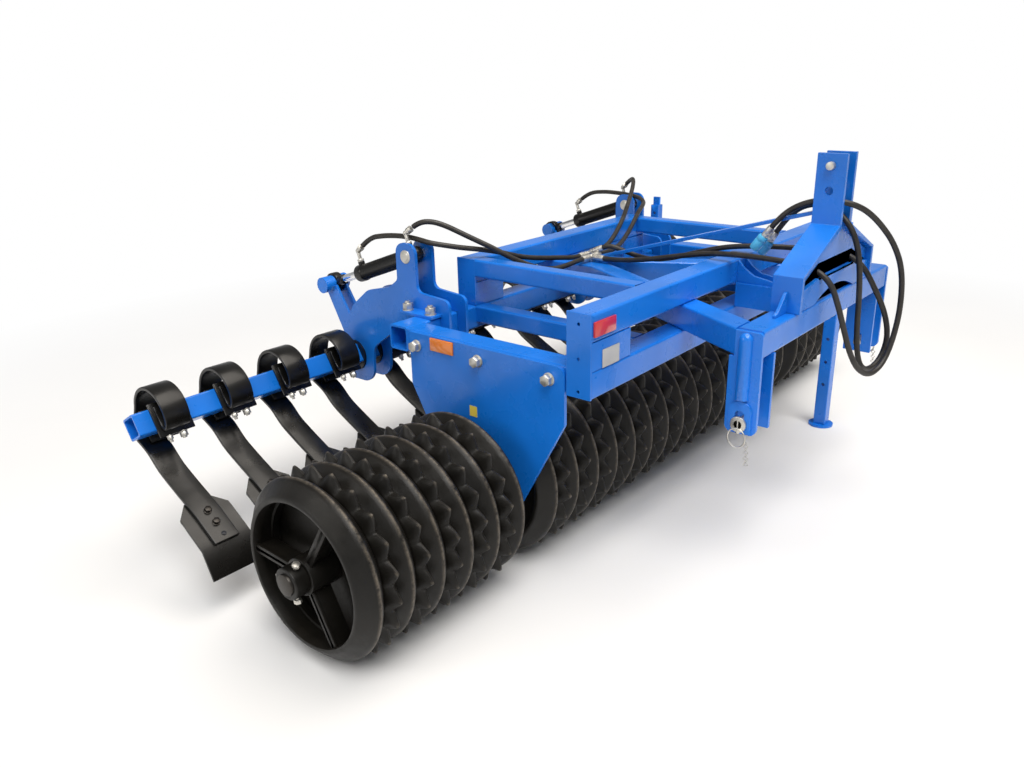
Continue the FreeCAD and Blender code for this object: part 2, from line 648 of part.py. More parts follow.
def smooth_ring(middle):
    """A cast ring with a ridge all round, on a web and hub."""
    half, nose = size.ring_width / 2, size.ring_nose / 2
    web, hub = size.ring_web / 2, size.hub_r
    bore, hub_half = size.shaft_r + size.seat_gap, size.ring_pitch / 2 - 0.5
    section = [(nose, size.ring_r), (nose + 9, size.ring_r - 5),
               (half - 14, size.ring_edge_r + 13), (half, size.ring_edge_r),
               (half, size.ring_inner_r), (half - 12, size.ring_inner_r),
               (web + 4, size.ring_inner_r + 24), (web, size.ring_inner_r + 12), (web, hub),
               (hub_half - size.star_web / 2, hub), (hub_half - size.star_web / 2, bore)]
    return spun(section + [(-x, r) for x, r in reversed(section)], middle)


def end_ring(middle):
    """The ring at the roller's end: the same rim on flat spokes and a hub."""
    half, nose = size.ring_width / 2, size.ring_nose / 2
    bore, hub_half = size.shaft_r + size.seat_gap, size.ring_pitch / 2 - 0.5
    rim = [(nose, size.ring_r), (nose + 9, size.ring_r - 5), (half - 14, size.ring_edge_r + 13),
           (half, size.ring_edge_r), (half, size.ring_inner_r), (half - 22, size.ring_inner_r),
           (10, size.ring_inner_r + 16)]
    ring = spun(rim + [(-x, r) for x, r in reversed(rim)], middle)
    reach = hub_half - size.star_web / 2
    hub = spun([(-reach, size.hub_r), (reach, size.hub_r), (reach, bore), (-reach, bore)],
               middle)
    spokes = []
    for k in range(int(size.ring_spokes)):
        arm = Part.makeBox(size.ring_web, size.spoke_width,
                           size.ring_inner_r + 24 - size.hub_r + 8,
                           Vector(middle - size.ring_web / 2, -size.spoke_width / 2,
                                  size.axle_z + size.hub_r - 8))
        arm.rotate(Vector(middle, 0, size.axle_z), ACROSS, 360 / size.ring_spokes * (k + 0.35))
        spokes.append(arm)
    return ring.fuse([hub] + spokes)


def star_ring(middle):
    """A ring of wavy teeth on a thin disc, flat at the teeth's tips."""
    count = int(size.star_teeth)
    flat = atan2(size.star_tip / 2, size.axle_z)
    low = size.star_root_r
    halfway = (size.axle_z + low) / 2
    shoulder = atan2(size.star_shoulder / 2, halfway)
    points = []
    for i in range(count):
        for turn, radius in ((-shoulder, halfway), (-flat, size.axle_z / cos(flat)),
                             (flat, size.axle_z / cos(flat)), (shoulder, halfway),
                             (pi / count, low)):
            angle = 2 * pi * i / count + turn
            points.append(Vector(middle - size.star_width / 2, -radius * sin(angle),
                                 size.axle_z - radius * cos(angle)))
    crown = prism(points, Vector(size.star_width, 0, 0))
    centre = Vector(middle, 0, size.axle_z)
    eye = Part.makeCylinder(low - 10, size.star_width + 2,
                            centre - ACROSS * (size.star_width / 2 + 1), ACROSS)
    disc = Part.makeCylinder(low - 8, size.star_web, centre - ACROSS * (size.star_web / 2),
                             ACROSS)
    bore = Part.makeCylinder(size.shaft_r + size.seat_gap, size.star_web + 2,
                             centre - ACROSS * (size.star_web / 2 + 1), ACROSS)
    return crown.cut(eye).fuse(disc.cut(bore)).removeSplitter()


def gang(label, shapes):
    keep(shaped(label, Part.makeCompound(shapes)), label)


pitch = size.ring_pitch
outer = [size.outer_first + pitch * k for k in range(int(size.outer_rings))]
inner = [pitch * (k - (size.inner_rings - 1) / 2) for k in range(int(size.inner_rings))]
for side, sign in (("left", -1), ("right", 1)):
    gang("smooth_rings_" + side, [smooth_ring(sign * x) for x in outer[:-1]]
         + [end_ring(sign * outer[-1])])
    gang("star_rings_" + side, [star_ring(sign * (x + pitch / 2)) for x in outer[:-1]])
gang("smooth_rings_middle", [smooth_ring(x) for x in inner])
gang("star_rings_middle", [star_ring(x + pitch / 2) for x in inner[:-1]])
keep(rod("roller_shaft", ("-shaft_half", "0", "axle_z"), "shaft_r", "2 * shaft_half"),
     "roller_shaft")
COLLAR_START = "(outer_first + ring_pitch * (outer_rings - 0.5) - star_web / 2)"
both("shaft_collars", lambda name: cut(
    name, rod(name + "_ring", ("-shaft_half + collar_inset", "0", "axle_z"), "collar_r",
              f"shaft_half - collar_inset - {COLLAR_START}"),
    rod(name + "_bore", ("-shaft_half", "0", "axle_z"), "shaft_r + seat_gap",
        f"shaft_half - {COLLAR_START} + 1")))

# -------------------------------------------------------------- tine carrier
TURN = radians(size.tine_turn)


def turned(along, up):
    """A point of the tine carrier's own upright frame, turned with the shaft."""
    return (size.pivot_y + along * cos(TURN) + up * sin(TURN),
            size.pivot_z - along * sin(TURN) + up * cos(TURN))


def square_loop(x, half):
    """Corners of a square about the tine shaft's axis, turned with it."""
    return [Vector(x, *turned(a, b)) for a, b in
            ((-half, -half), (half, -half), (half, half), (-half, half))]


def make_tine_tube():
    half, length = size.tine_tube / 2, Vector(2 * size.tine_half, 0, 0)
    outside = prism(square_loop(-size.tine_half, half), length)
    return shaped("tine_shaft", outside.cut(
        prism(square_loop(-size.tine_half, half - size.tube_wall), length)))


keep(make_tine_tube(), "tine_shaft")
BUSH_R = size.tine_tube * sqrt(0.5) + size.bush_wall


def make_bushes():
    """Round bushes on the tine shaft that turn in the bracket plates."""
    length = size.bracket_plate + 2 * size.bush_proud
    solids = []
    for sign in (-1, 1):
        for k in (0, 1):
            x = size.bracket_x + k * (size.bracket_plate + size.bracket_gap) - size.bush_proud
            start = x if sign > 0 else -x - length
            round_bar = Part.makeCylinder(BUSH_R, length,
                                          Vector(start, size.pivot_y, size.pivot_z), ACROSS)
            solids.append(round_bar.cut(prism(
                square_loop(start - 1, size.tine_tube / 2 + 0.15), Vector(length + 2, 0, 0))))
    return shaped("tine_bushes", Part.makeCompound(solids))


keep(make_bushes(), "tine_bushes")
LEVER_PIN = turned(0, size.lever_length)


def make_lever(name):
    """Two plates welded on the tine shaft, with bosses for the rod's pin."""
    middle = -size.bracket_x - size.bracket_plate - size.bracket_gap / 2
    half, low, top = size.lever_width / 2, size.tine_tube / 2, size.lever_length
    gap, thick = size.lever_gap / 2, size.lever_plate
    corners = [turned(-half, low), turned(half, low), turned(half * 0.78, top - 18),
               turned(-half * 0.78, top - 18)]
    centre = Vector(middle, *LEVER_PIN)
    long_end, short_end = centre - ACROSS * (gap + size.boss_long), centre + ACROSS * (
        gap + size.boss_short)
    solid = bar(long_end, short_end, size.pin_r)
    solid = solid.fuse([bar(long_end, centre - ACROSS * gap, size.boss_r),
                        bar(centre + ACROSS * gap, short_end, size.boss_r)])
    for start in (middle - gap - thick, middle + gap):
        solid = solid.fuse(prism([Vector(start, a, b) for a, b in corners],
                                 Vector(thick, 0, 0)))
    return shaped(name, solid.removeSplitter())


both("levers", make_lever)

tine_places = [size.inner_tine_pitch * (k - (size.inner_tines - 1) / 2)
               for k in range(int(size.inner_tines))]
for k in range(int(size.outer_tines)):
    tine_places += [-size.outer_tine - k * size.outer_tine_pitch,
                    size.side_tine + k * size.side_tine_pitch]
tine_places.sort()

# middle line of the shank's upper face, from below the coil to the tip, as
# runs back from the tine shaft's axis and heights above ground
SHANK = [(-8, 0), (22, 401), (67, 361), (139, 320), (187, 295), (245, 262), (327, 206)]
LIP = (-40, -84)


def shank_route():
    points = [(size.pivot_y - back, height) for back, height in SHANK]
    inner = size.coil_r - size.tine_thick
    return [(points[0][0], size.pivot_z + size.coil_rise - inner - 1)] + points[1:]


def offset(path, distance):
    """The path moved sideways to its left, with mitred corners."""
    moved = []
    for i, (a, b) in enumerate(path):
        normals = []
        for p, q in ((path[i - 1], path[i]) if i else (path[0], path[1]),
                     (path[i], path[i + 1]) if i + 1 < len(path) else (path[-2], path[-1])):
            reach = hypot(q[0] - p[0], q[1] - p[1])
            normals.append(((p[1] - q[1]) / reach, (q[0] - p[0]) / reach))
        across = (normals[0][0] + normals[1][0], normals[0][1] + normals[1][1])
        scale = 2 * distance / (across[0] ** 2 + across[1] ** 2)
        moved.append((a + across[0] * scale, b + across[1] * scale))
    return moved


def shank_side(middle):
    """Coils wind outwards, so a shank stands to the outer side of its coil."""
    return size.shank_shift if middle > 1 else -size.shank_shift


def tine(middle):
    """A coil of flat bar round the shaft, then a shank that bends down forwards."""
    y, z = size.pivot_y, size.pivot_z + size.coil_rise
    half = size.tine_width / 2
    start = Vector(middle - half, y, z)
    coil = Part.makeCylinder(size.coil_r, size.tine_width, start, ACROSS).cut(
        Part.makeCylinder(size.coil_r - size.tine_thick, size.tine_width, start, ACROSS))
    route = shank_route()
    shank = prism([Vector(middle - half + shank_side(middle), a, b)
                   for a, b in route + offset(route, size.tine_thick)[::-1]],
                  Vector(size.tine_width, 0, 0))
    reach = size.tine_tube / 2
    saddle = prism([Vector(start.x + 5, *turned(a, b)) for a, b in
                    ((reach + 0.3, -26), (reach + 44, -26), (reach + 44, 26),
                     (reach + 0.3, 26))], Vector(size.tine_width - 10, 0, 0))
    inside = Part.makeCylinder(size.coil_r - 2, size.tine_width, start, ACROSS)
    return coil.fuse([shank, saddle.common(inside)]).removeSplitter()


def blade(middle):
    """A flat blade under the shank's end, its corners cut and its lip bent down."""
    half = size.blade_width / 2
    seat = offset(shank_route()[-3:], size.tine_thick + 0.3)
    top = seat + [(seat[-1][0] + LIP[0], seat[-1][1] + LIP[1])]
    x = middle + shank_side(middle)
    solid = prism([Vector(x - half, a, b) for a, b in top + offset(top, size.blade_thick)[::-1]],
                  Vector(size.blade_width, 0, 0))
    (y, z), trim = top[0], size.blade_cut
    for sign in (-1, 1):
        edge = x + sign * half
        corner = prism([Vector(edge + sign, y + 60, z - 60), Vector(edge + sign, y - trim, z - 60),
                        Vector(edge - sign * trim, y + 2, z - 60),
                        Vector(edge - sign * trim, y + 60, z - 60)], Vector(0, 0, 160))
        solid = solid.cut(corner)
    return solid


gang("tines", [tine(x) for x in tine_places])
gang("tine_blades", [blade(x) for x in tine_places])


def make_bracket(name):
    """Two plates on the lower beam that carry the tine shaft and the cylinder."""
    pin_y, pin_z, lug = size.cylinder_pin_y, size.cylinder_pin_z, size.lug_r
    y, z, lobe = size.pivot_y, size.pivot_z, size.lobe_r
    low = size.frame_bottom - 24
    top = size.frame_bottom + size.tube
    front = size.tine_beam_y + size.tube / 2
    back = size.tine_beam_y - size.tube / 2
    corners = [(pin_y - lug, pin_z + lug), (pin_y - lug, top + 68), (back - 40, top + 57),
               (back - 40, low), (back - 0.5, low), (back - 0.5, top + 0.5),
               (front + 0.5, top + 0.5), (front + 0.5, low), (front + 160, low + 8),
               (y - 100, z + 46), (y - lobe, z - 10), (y - lobe, z - lobe),
               (y + 58, z - lobe), (y + 60, z + 96), (y - 8, z + 192), (y - 90, z + 256),
               (pin_y + 88, pin_z - 114), (pin_y + lug + 2, pin_z - 84), (pin_y + lug, pin_z + lug)]
    rounds = [(0, 36), (1, 26), (2, 26), (8, 60), (9, 60), (11, 60), (12, 50), (13, 60),
              (14, 60), (15, 60), (16, 40), (17, 20), (18, 36)]
    holes = [(y, z, BUSH_R + size.bush_play), (pin_y, pin_z, size.pin_r)]
    pieces = []
    for tag, start in (("inner", "-bracket_x - bracket_plate"), ("outer", "-bracket_outer")):
        pieces.append(plate(name + tag, corners, "bracket_plate", "x", start, rounds, holes))
    tabs = []
    for x in (-size.bracket_outer - 46, -size.bracket_x + 6):
        tabs.append(Part.makeBox(46 if x < -size.bracket_outer else 40, 150, 10,
                                 Vector(x, size.tine_beam_y - 45, top + 0.3)))
    outer_tab = shaped(name + "_tab", tabs[0])
    return group(name, fuse(name + "_tabbed", pieces[1], outer_tab), pieces[0])


both("tine_brackets", make_bracket)


def at_cylinder_pin(obj):
    """Moves a round piece that runs along X to the cylinder's base pin."""
    obj.setExpression("Placement.Base.y", "Sizes.cylinder_pin_y")
    obj.setExpression("Placement.Base.z", "Sizes.cylinder_pin_z")
    return obj


both("cylinder_pins", lambda name: at_cylinder_pin(rod(
    name, ("-bracket_outer - 6", "0", "0"), "pin_r", "bracket_gap + 2 * bracket_plate + 12")))

BASE = Vector(0, size.cylinder_pin_y, size.cylinder_pin_z)
TIP = Vector(0, *LEVER_PIN)
LINE = (TIP - BASE).normalize()
ABOVE = Vector(0, -LINE.z, LINE.y)
CYLINDER_X = -(size.bracket_x + size.bracket_plate + size.bracket_gap / 2)


def ferrule_tip(along, inward):
    """Where the hose leaves a port's elbow: its foot, knee, end and heading."""
    foot = BASE + ACROSS * CYLINDER_X + LINE * along + ABOVE * size.barrel_r
    knee = foot + ABOVE * size.port_rise
    lean = Vector(inward, -1, 0.78).normalize()
    return foot, knee, knee + lean * size.ferrule, lean


PORTS = {"base": ("port_in", 0.4), "rod": ("port_out", 0)}


def port(which):
    """A port boss on the barrel with an elbow that turns towards the hose."""
    alias, inward = PORTS[which]
    foot, knee, end, _ = ferrule_tip(getattr(size, alias), inward)
    return bar(foot - ABOVE * 4, foot + ABOVE * 14, 12).fuse(
        [bar(foot + ABOVE * 10, knee, 7), Part.makeSphere(8, knee), bar(knee, end, 9)])


def make_barrel(name):
    """The barrel with its base eye, gland and two ports with elbows."""
    base = BASE + ACROSS * CYLINDER_X
    start = base - ACROSS * (size.eye_width / 2)
    ring = Part.makeCylinder(size.barrel_r, size.eye_width, start, ACROSS)
    hole = Part.makeCylinder(size.pin_r + 0.05, size.eye_width, start, ACROSS)
    tube = bar(base + LINE * (size.pin_r + 8), base + LINE * (size.barrel_length + 8 - 15),
               size.barrel_r)
    gland = bar(base + LINE * (size.barrel_length - 36), base + LINE * size.barrel_length,
                size.barrel_r + 3)
    bore = bar(base + LINE * 80, base + LINE * (size.barrel_length + 10), size.rod_r + 0.5)
    solid = tube.fuse([ring, gland]).cut(hole).cut(bore)
    for which in PORTS:
        solid = solid.fuse(port(which))
    return shaped(name, solid)


def make_rod(name):
    """The piston rod, its eye and the stroke limiter clamped beside the eye."""
    base = BASE + ACROSS * CYLINDER_X
    tip = TIP + ACROSS * CYLINDER_X
    bore = size.pin_r + size.eye_play
    start = tip - ACROSS * (size.eye_width / 2)
    ring = Part.makeCylinder(bore + size.eye_wall, size.eye_width, start, ACROSS)
    hole = Part.makeCylinder(bore, size.eye_width, start, ACROSS)
    rod_end = (TIP - BASE).Length - bore - 4
    return shaped(name, bar(base + LINE * size.rod_start, base + LINE * rod_end,
                            size.rod_r).fuse(ring).cut(hole))


pair("cylinder_barrel", make_barrel)
pair("cylinder_rod", make_rod)


# -------------------------------------------------------------------- stands
def square_bar(name, x, y, low, side, high):
    """A solid square bar that stands on the given height."""
    return box(name, (f"{x} - {side} / 2", f"{y} - {side} / 2", low), (side, side, high))


def make_sleeve(tag, x, y, inner, low, high, packer):
    """The square sleeve that a parking leg slides in, on its packing block."""
    outer = f"({inner} + 2 * stand_wall)"
    body = square_bar(tag + "_sleeve", x, y, low, outer, high)
    bore = square_bar(tag + "_bore", x, y, f"{low} - 1", inner, f"{high} + 2")
    keep(cut(f"stand_sleeve_{tag}", fuse(tag + "_blank", body, packer), bore),
         f"stand_sleeve_{tag}")


HITCH_Y = "(-hitch_beam_y - tube / 2 - stand_packer - stand_wall - stand_play - stand_tube / 2)"
make_sleeve("hitch", "stand_x", HITCH_Y, "(stand_tube + 2 * stand_play)", LEVEL[0],
            "3 * tube", box("hitch_packer", ("stand_x - stand_tube / 2",
                                             "-hitch_beam_y - tube / 2 - stand_packer - 1",
                                             "frame_bottom + 4"),
                            ("stand_tube", "stand_packer + 1", "3 * tube - 8")))


def make_hitch_leg():
    leg = square_bar("hitch_leg", "stand_x", HITCH_Y, "foot_thick", "stand_tube",
                     "stand_top - foot_thick")
    for k in range(4):
        hole = rod(f"hitch_leg_hole_{k}", ("stand_x - stand_tube", HITCH_Y,
                                           f"leg_hole_z + {k} * leg_hole_pitch"),
                   "leg_hole_r", "2 * stand_tube")
        leg = cut(f"hitch_leg_{k}", leg, hole)
    return fuse("stand_leg_hitch", leg,
                rod("hitch_foot", ("stand_x", HITCH_Y, "0"), "foot_r", "foot_thick", "z"))


keep(make_hitch_leg(), "stand_leg_hitch")
make_sleeve("tine", "tine_stand_x", "tine_stand_y", "(tine_stand_tube + 2 * stand_play)",
            "frame_bottom - 30", "170",
            box("tine_packer", ("tine_stand_x - tine_stand_tube / 2",
                                "tine_beam_y + tube / 2", "frame_bottom + 4"),
                ("tine_stand_tube", "tine_stand_packer + 1", "tube - 8")))


def make_tine_leg():
    leg = square_bar("tine_leg", "tine_stand_x", "tine_stand_y", "foot_thick",
                     "tine_stand_tube", f"{LEVEL[3]} - foot_thick")
    hole = rod("tine_leg_hole", ("tine_stand_x - tine_stand_tube", "tine_stand_y",
                                 f"{LEVEL[3]} - 36"), "leg_hole_r", "2 * tine_stand_tube")
    lug = box("tine_leg_lug", ("tine_stand_x - 6", "tine_stand_y - 15", f"{LEVEL[3]} - 1"),
              ("12", "30", "36"))
    foot = box("tine_foot_plate", ("tine_stand_x - tine_stand_tube / 2",
                                   "tine_stand_y - tine_foot / 2", "0"),
               ("tine_stand_tube", "tine_foot", "foot_thick"))
    return fuse("stand_leg_tine", cut("tine_leg_bored", leg, hole), lug, foot)


keep(make_tine_leg(), "stand_leg_tine")


# ----------------------------------------------------- reflectors and plate
REFLECTOR_Y = "-hitch_beam_y - tube / 2 - 6"
keep(group("reflectors_red", box("reflector_left", (
    "-half_width + 10", REFLECTOR_Y, f"{LEVEL[2]} + 16"), ("100", "6", "42")), box(
    "reflector_right", ("stand_x - stand_tube - 120", REFLECTOR_Y, f"{LEVEL[2]} + 16"),
    ("100", "6", "42"))), "reflectors_red")
both("reflectors_orange", lambda name: box(
    name, ("-half_width - 6", "88", f"{LEVEL[1]} - 48"), ("6", "95", "41")))
keep(box("nameplate", ("-half_width + 54", "-hitch_beam_y - tube / 2 - 1.5", LEVEL[1]),
         ("82", "1.5", "52")), "nameplate")

# --------------------------------------------------------------------- hoses
def port_end(which, side):
    """Where a hose starts beside a cylinder's port, on the left or the right side."""
    alias, inward = PORTS[which]
    _, _, tip, lean = ferrule_tip(getattr(size, alias), inward)
    end = tip + lean * size.hose_gap
    return (side * abs(end.x), end.y, end.z)


# Each route runs from a fitting's end face, along its axis, to the next one's.
TEE_FAR = (-3, 210, 807)
TEE_NEAR = (-37, 172, 806)
TEE_ARM = 26
HOSES = {
    "hose_near_rod": [port_end("rod", -1), (-669, 672, 924), (-662, 612, 936), (-652, 552, 941),
        (-648, 496, 941), (-648, 446, 937), (-644, 402, 930), (-612, 368, 921), (-562, 332, 908),
        (-504, 299, 897), (-440, 266, 880), (-360, 241, 852), (-262, 222, 834), (-168, 212, 821),
        (-94, 210, 807), (-29, 210, 807)],
    "hose_near_base": [port_end("base", -1), (-649.3, 441.9, 996.6), (-622, 408, 998), (-592, 374, 982),
        (-560, 338, 957), (-524, 300, 930), (-485, 262, 902), (-440, 228, 868), (-388, 202, 838),
        (-325, 182, 812), (-250, 170, 800), (-180, 168, 803), (-116, 172, 806), (-63, 172, 806)],
    "hose_far_rod": [(-11, 172, 806), (45, 172, 806), (110, 177, 806), (180, 193, 808),
        (250, 215, 818), (330, 241, 838), (410, 267, 864), (480, 291, 892), (552, 315, 906),
        (612, 344, 914), (648, 390, 925), (650, 450, 933), (650, 515, 937), (656, 580, 936),
        (669, 672, 924), port_end("rod", 1)],
    "hose_far_base": [(23, 210, 807), (84, 210, 807), (156, 222, 819), (226, 240, 840),
        (290, 260, 864), (352, 282, 889), (414, 308, 912), (480, 335, 946), (540, 360, 976),
        (596, 390, 1002), (643.7, 427.9, 1007.5), port_end("base", 1)],
    "hose_main_near": [(-37, 144, 806), (-37, 90, 806), (-50, 14, 814), (-66, -70, 829),
        (-74, -150, 846), (-82, -235, 866), (-90, -325, 885), (-99, -415, 894), (-108, -510, 897),
        (-120, -610, 897), (-136, -690, 896), (-131, -756, 858), (-106, -780, 774),
        (-72, -793, 695), (-40, -806, 620), (0, -824, 556), (58, -846, 524), (118, -866, 554),
        (158, -876, 636), (182, -878, 735), (180, -868, 850), (148, -842, 935), (100, -808, 1000),
        (50, -776, 1046), (6, -738, 1070), (-12, -680, 1076), (-16, -626, 1068),
        (-25, -578, 1046), (-34, -540, 1012), (-38, -512, 972)],
    "hose_main_far": [(8, 184, 821), (25.6, 142.4, 843.4), (36, 96, 832), (40, 36, 816),
        (37, -40, 808), (34, -115, 820), (43, -210, 850), (54, -310, 880), (68, -400, 892),
        (84, -495, 897), (106, -600, 897), (134, -690, 896), (146, -756, 858), (164, -794, 786),
        (184, -826, 715), (196, -844, 645), (190, -846, 590), (160, -838, 543), (112, -822, 523),
        (67, -810, 546), (44, -802, 600), (34, -797, 670), (30, -794, 755), (27, -789, 840),
        (22, -779, 918), (15, -756, 988), (13, -708, 1040), (15, -645, 1060), (22, -594, 1048),
        (30, -555, 1020), (36, -524, 984), (38, -498, 944)],
}


def rounded_route(points, share=0.45):
    """Straight runs with an arc at each corner; the arc takes a share of its runs."""
    points = [Vector(*p) for p in points]
    edges, start, tightest = [], points[0], None
    for i in range(1, len(points) - 1):
        back, ahead = points[i - 1] - points[i], points[i + 1] - points[i]
        reach = share * min(back.Length, ahead.Length)
        back.normalize()
        ahead.normalize()
        half = back.getAngle(ahead) / 2
        radius = reach * tan(half)
        tightest = radius if tightest is None else min(tightest, radius)
        enter, leave = points[i] + back * reach, points[i] + ahead * reach
        middle = points[i] + (back + ahead).normalize() * (reach / cos(half) - radius)
        edges.append(Part.LineSegment(start, enter).toShape())
        edges.append(Part.Arc(enter, middle, leave).toShape())
        start = leave
    edges.append(Part.LineSegment(start, points[-1]).toShape())
    return Part.Wire(edges), tightest


def make_hose(label, route):
    """A hose of round section swept along its route, with the sizes it came to."""
    wire, tightest = rounded_route(route)
    first = Vector(*route[0])
    heading = Vector(*route[1]) - first
    ring = Part.Wire(Part.makeCircle(size.hose_r, first, heading))
    tube = wire.makePipeShell([ring], True, False)
    expected = pi * size.hose_r ** 2 * wire.Length
    print(f"{label}: {wire.Length:.0f} mm long, tightest arc {tightest:.0f} mm, "
          f"volume {tube.Volume / expected:.4f} of section times length")
    return keep(shaped(label, tube), label)


for label, route in HOSES.items():
    make_hose(label, route)


def make_fittings():
    """Two tees on posts, where the four cylinder hoses meet the two main ones."""
    solids = []
    for place, third in ((TEE_FAR, Vector(11, -26, 14)), (TEE_NEAR, Vector(0, -28, 0))):
        centre = Vector(*place)
        base = Vector(centre.x, centre.y, size.frame_bottom + 2 * size.tube)
        solids.append(bar(centre - ACROSS * TEE_ARM, centre + ACROSS * TEE_ARM, 11).fuse(
            [bar(centre, centre + third, 11), bar(base, centre, 8)]))
    return shaped("hose_fittings", Part.makeCompound(solids))


def make_couplers():
    """The quick couplers' plugs at the hose ends, each in its dust cap."""
    solids = []
    for route in (HOSES["hose_main_near"], HOSES["hose_main_far"]):
        tip = Vector(*route[-1])
        heading = (tip - Vector(*route[-2])).normalize()
        solids.append(bar(tip, tip + heading * 30, 12).fuse(
            bar(tip + heading * 26, tip + heading * 78, 17)))
    return shaped("couplers", Part.makeCompound(solids))


keep(make_fittings(), "hose_fittings")
keep(make_couplers(), "couplers")


# --------------------------------------------------------------- check, write
def write_parts():
    doc.recompute()
    for obj in doc.Objects:
        if "Invalid" in obj.State or "Error" in obj.State:
            raise RuntimeError(f"{obj.Label} failed: {obj.State}")
    os.makedirs("parts", exist_ok=True)
    for obj in parts:
        shape = obj.Shape
        if shape.isNull() or not shape.isValid():
            raise RuntimeError(f"{obj.Label} has no valid shape")
        shape.exportStep(f"parts/{obj.Label}.step")
        print(f"{obj.Label:24s} {len(shape.Solids):3d} solids {shape.Volume / 1e6:9.3f} dm3")


write_parts()
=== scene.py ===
"""Land roller: its looks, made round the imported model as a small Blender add-on.

Each operator makes one group of pieces. Sizes are metres in the model's frame:
X runs along the roller's shaft, Y from the hitch to the tines and Z up.
"""
import json
from math import cos, hypot, pi, radians, sin

import bmesh
import bpy
from mathutils import Matrix, Vector

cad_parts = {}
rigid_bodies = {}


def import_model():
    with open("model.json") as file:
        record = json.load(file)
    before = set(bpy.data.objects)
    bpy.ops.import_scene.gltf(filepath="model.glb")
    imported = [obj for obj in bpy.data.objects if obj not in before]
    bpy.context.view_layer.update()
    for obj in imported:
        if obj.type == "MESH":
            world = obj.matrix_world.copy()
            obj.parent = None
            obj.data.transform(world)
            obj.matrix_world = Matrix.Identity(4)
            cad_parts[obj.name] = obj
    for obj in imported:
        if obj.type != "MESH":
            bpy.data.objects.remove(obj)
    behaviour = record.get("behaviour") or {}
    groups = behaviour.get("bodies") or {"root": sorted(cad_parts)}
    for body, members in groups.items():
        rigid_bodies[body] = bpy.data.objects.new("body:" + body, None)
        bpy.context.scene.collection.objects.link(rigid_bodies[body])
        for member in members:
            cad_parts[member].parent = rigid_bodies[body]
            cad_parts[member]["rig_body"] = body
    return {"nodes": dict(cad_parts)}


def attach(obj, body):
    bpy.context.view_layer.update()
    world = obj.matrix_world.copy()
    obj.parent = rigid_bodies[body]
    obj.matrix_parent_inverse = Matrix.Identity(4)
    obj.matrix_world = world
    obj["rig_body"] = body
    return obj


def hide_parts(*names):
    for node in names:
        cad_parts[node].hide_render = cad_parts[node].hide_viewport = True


bl_info = {
    "name": "Land roller",
    "version": (1, 0, 0),
    "blender": (4, 5, 0),
    "location": "View3D > Sidebar > Roller",
    "description": "Front land roller with spring tines, dressed piece by piece",
    "category": "Add Mesh",
}

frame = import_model()
bpy.ops.object.select_all(action="DESELECT")
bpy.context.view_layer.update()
NODES = frame["nodes"]
ALONG = Vector((1, 0, 0))
CREASE = 35                     # degrees from which an edge counts as a crease
WELD = 1e-6                     # points closer than this are one
PAD_EDGE = 0.0018               # rounding of reflectors and blank plates
FILM_THICK = 0.0006             # of a sticker


def shade(name, default, note):
    """A colour that a user can set."""
    return bpy.props.FloatVectorProperty(name=name, description=note, subtype="COLOR",
                                         size=3, default=default, min=0, max=1)


def reach(name, default, note):
    """A length in metres that a user can set."""
    return bpy.props.FloatProperty(name=name, description=note, default=default, min=0.0001,
                                   unit="LENGTH", precision=4)


class RollerSettings(bpy.types.PropertyGroup):
    """Sizes and colours that a user would change"""

    paint: shade("Frame paint", (0.004, 0.150, 0.600), "Gloss paint of the frame")
    black: shade("Tine paint", (0.0030, 0.0027, 0.0022), "Gloss paint of tines and cylinders")
    iron: shade("Ring iron", (0.0062, 0.0054, 0.0042), "Primed castings of the roller")
    tube_edge: reach("Tube corners", 0.008, "Rounding of the rolled tubes")
    plate_edge: reach("Plate edges", 0.0014, "Rounding of the cut plates")
    hose: reach("Hose radius", 0.009, "Outer radius of the hoses")
    tine_edge: reach("Tine edges", 0.0026, "Rounding of the tines' flat bar")
    ring_steps: bpy.props.IntProperty(
        name="Ring steps", description="Steps round a smooth ring", default=120, min=24)
    teeth: bpy.props.IntProperty(
        name="Star teeth", description="Teeth of a star ring", default=21, min=8)
    tooth_steps: bpy.props.IntProperty(
        name="Tooth steps", description="Steps round each tooth", default=12, min=4)


def settings():
    """The sizes and colours as they are set now."""
    return bpy.context.scene.roller


# ---------------------------------------------------------------- modelling
def alone(obj):
    """Makes an object the only selected and the active one."""
    bpy.ops.object.select_all(action="DESELECT")
    obj.select_set(True)
    bpy.context.view_layer.objects.active = obj
    return obj


def edit(on=True):
    """Goes into edit mode, or back to object mode."""
    bpy.ops.object.mode_set(mode="EDIT" if on else "OBJECT")


def soften(obj, size, steps, least=0.0):
    """Rounds the creases that are longer than a least length."""
    alone(obj)
    edit()
    bpy.ops.mesh.select_mode(type="EDGE")
    bpy.ops.mesh.select_all(action="DESELECT")
    bpy.ops.mesh.edges_select_sharp(sharpness=radians(CREASE))
    work = bmesh.from_edit_mesh(obj.data)
    for edge in work.edges:
        if edge.select and edge.calc_length() < least:
            edge.select_set(False)
    bmesh.update_edit_mesh(obj.data)
    bpy.ops.mesh.bevel(offset=size, segments=steps, affect="EDGES", clamp_overlap=False)
    edit(False)
    return obj


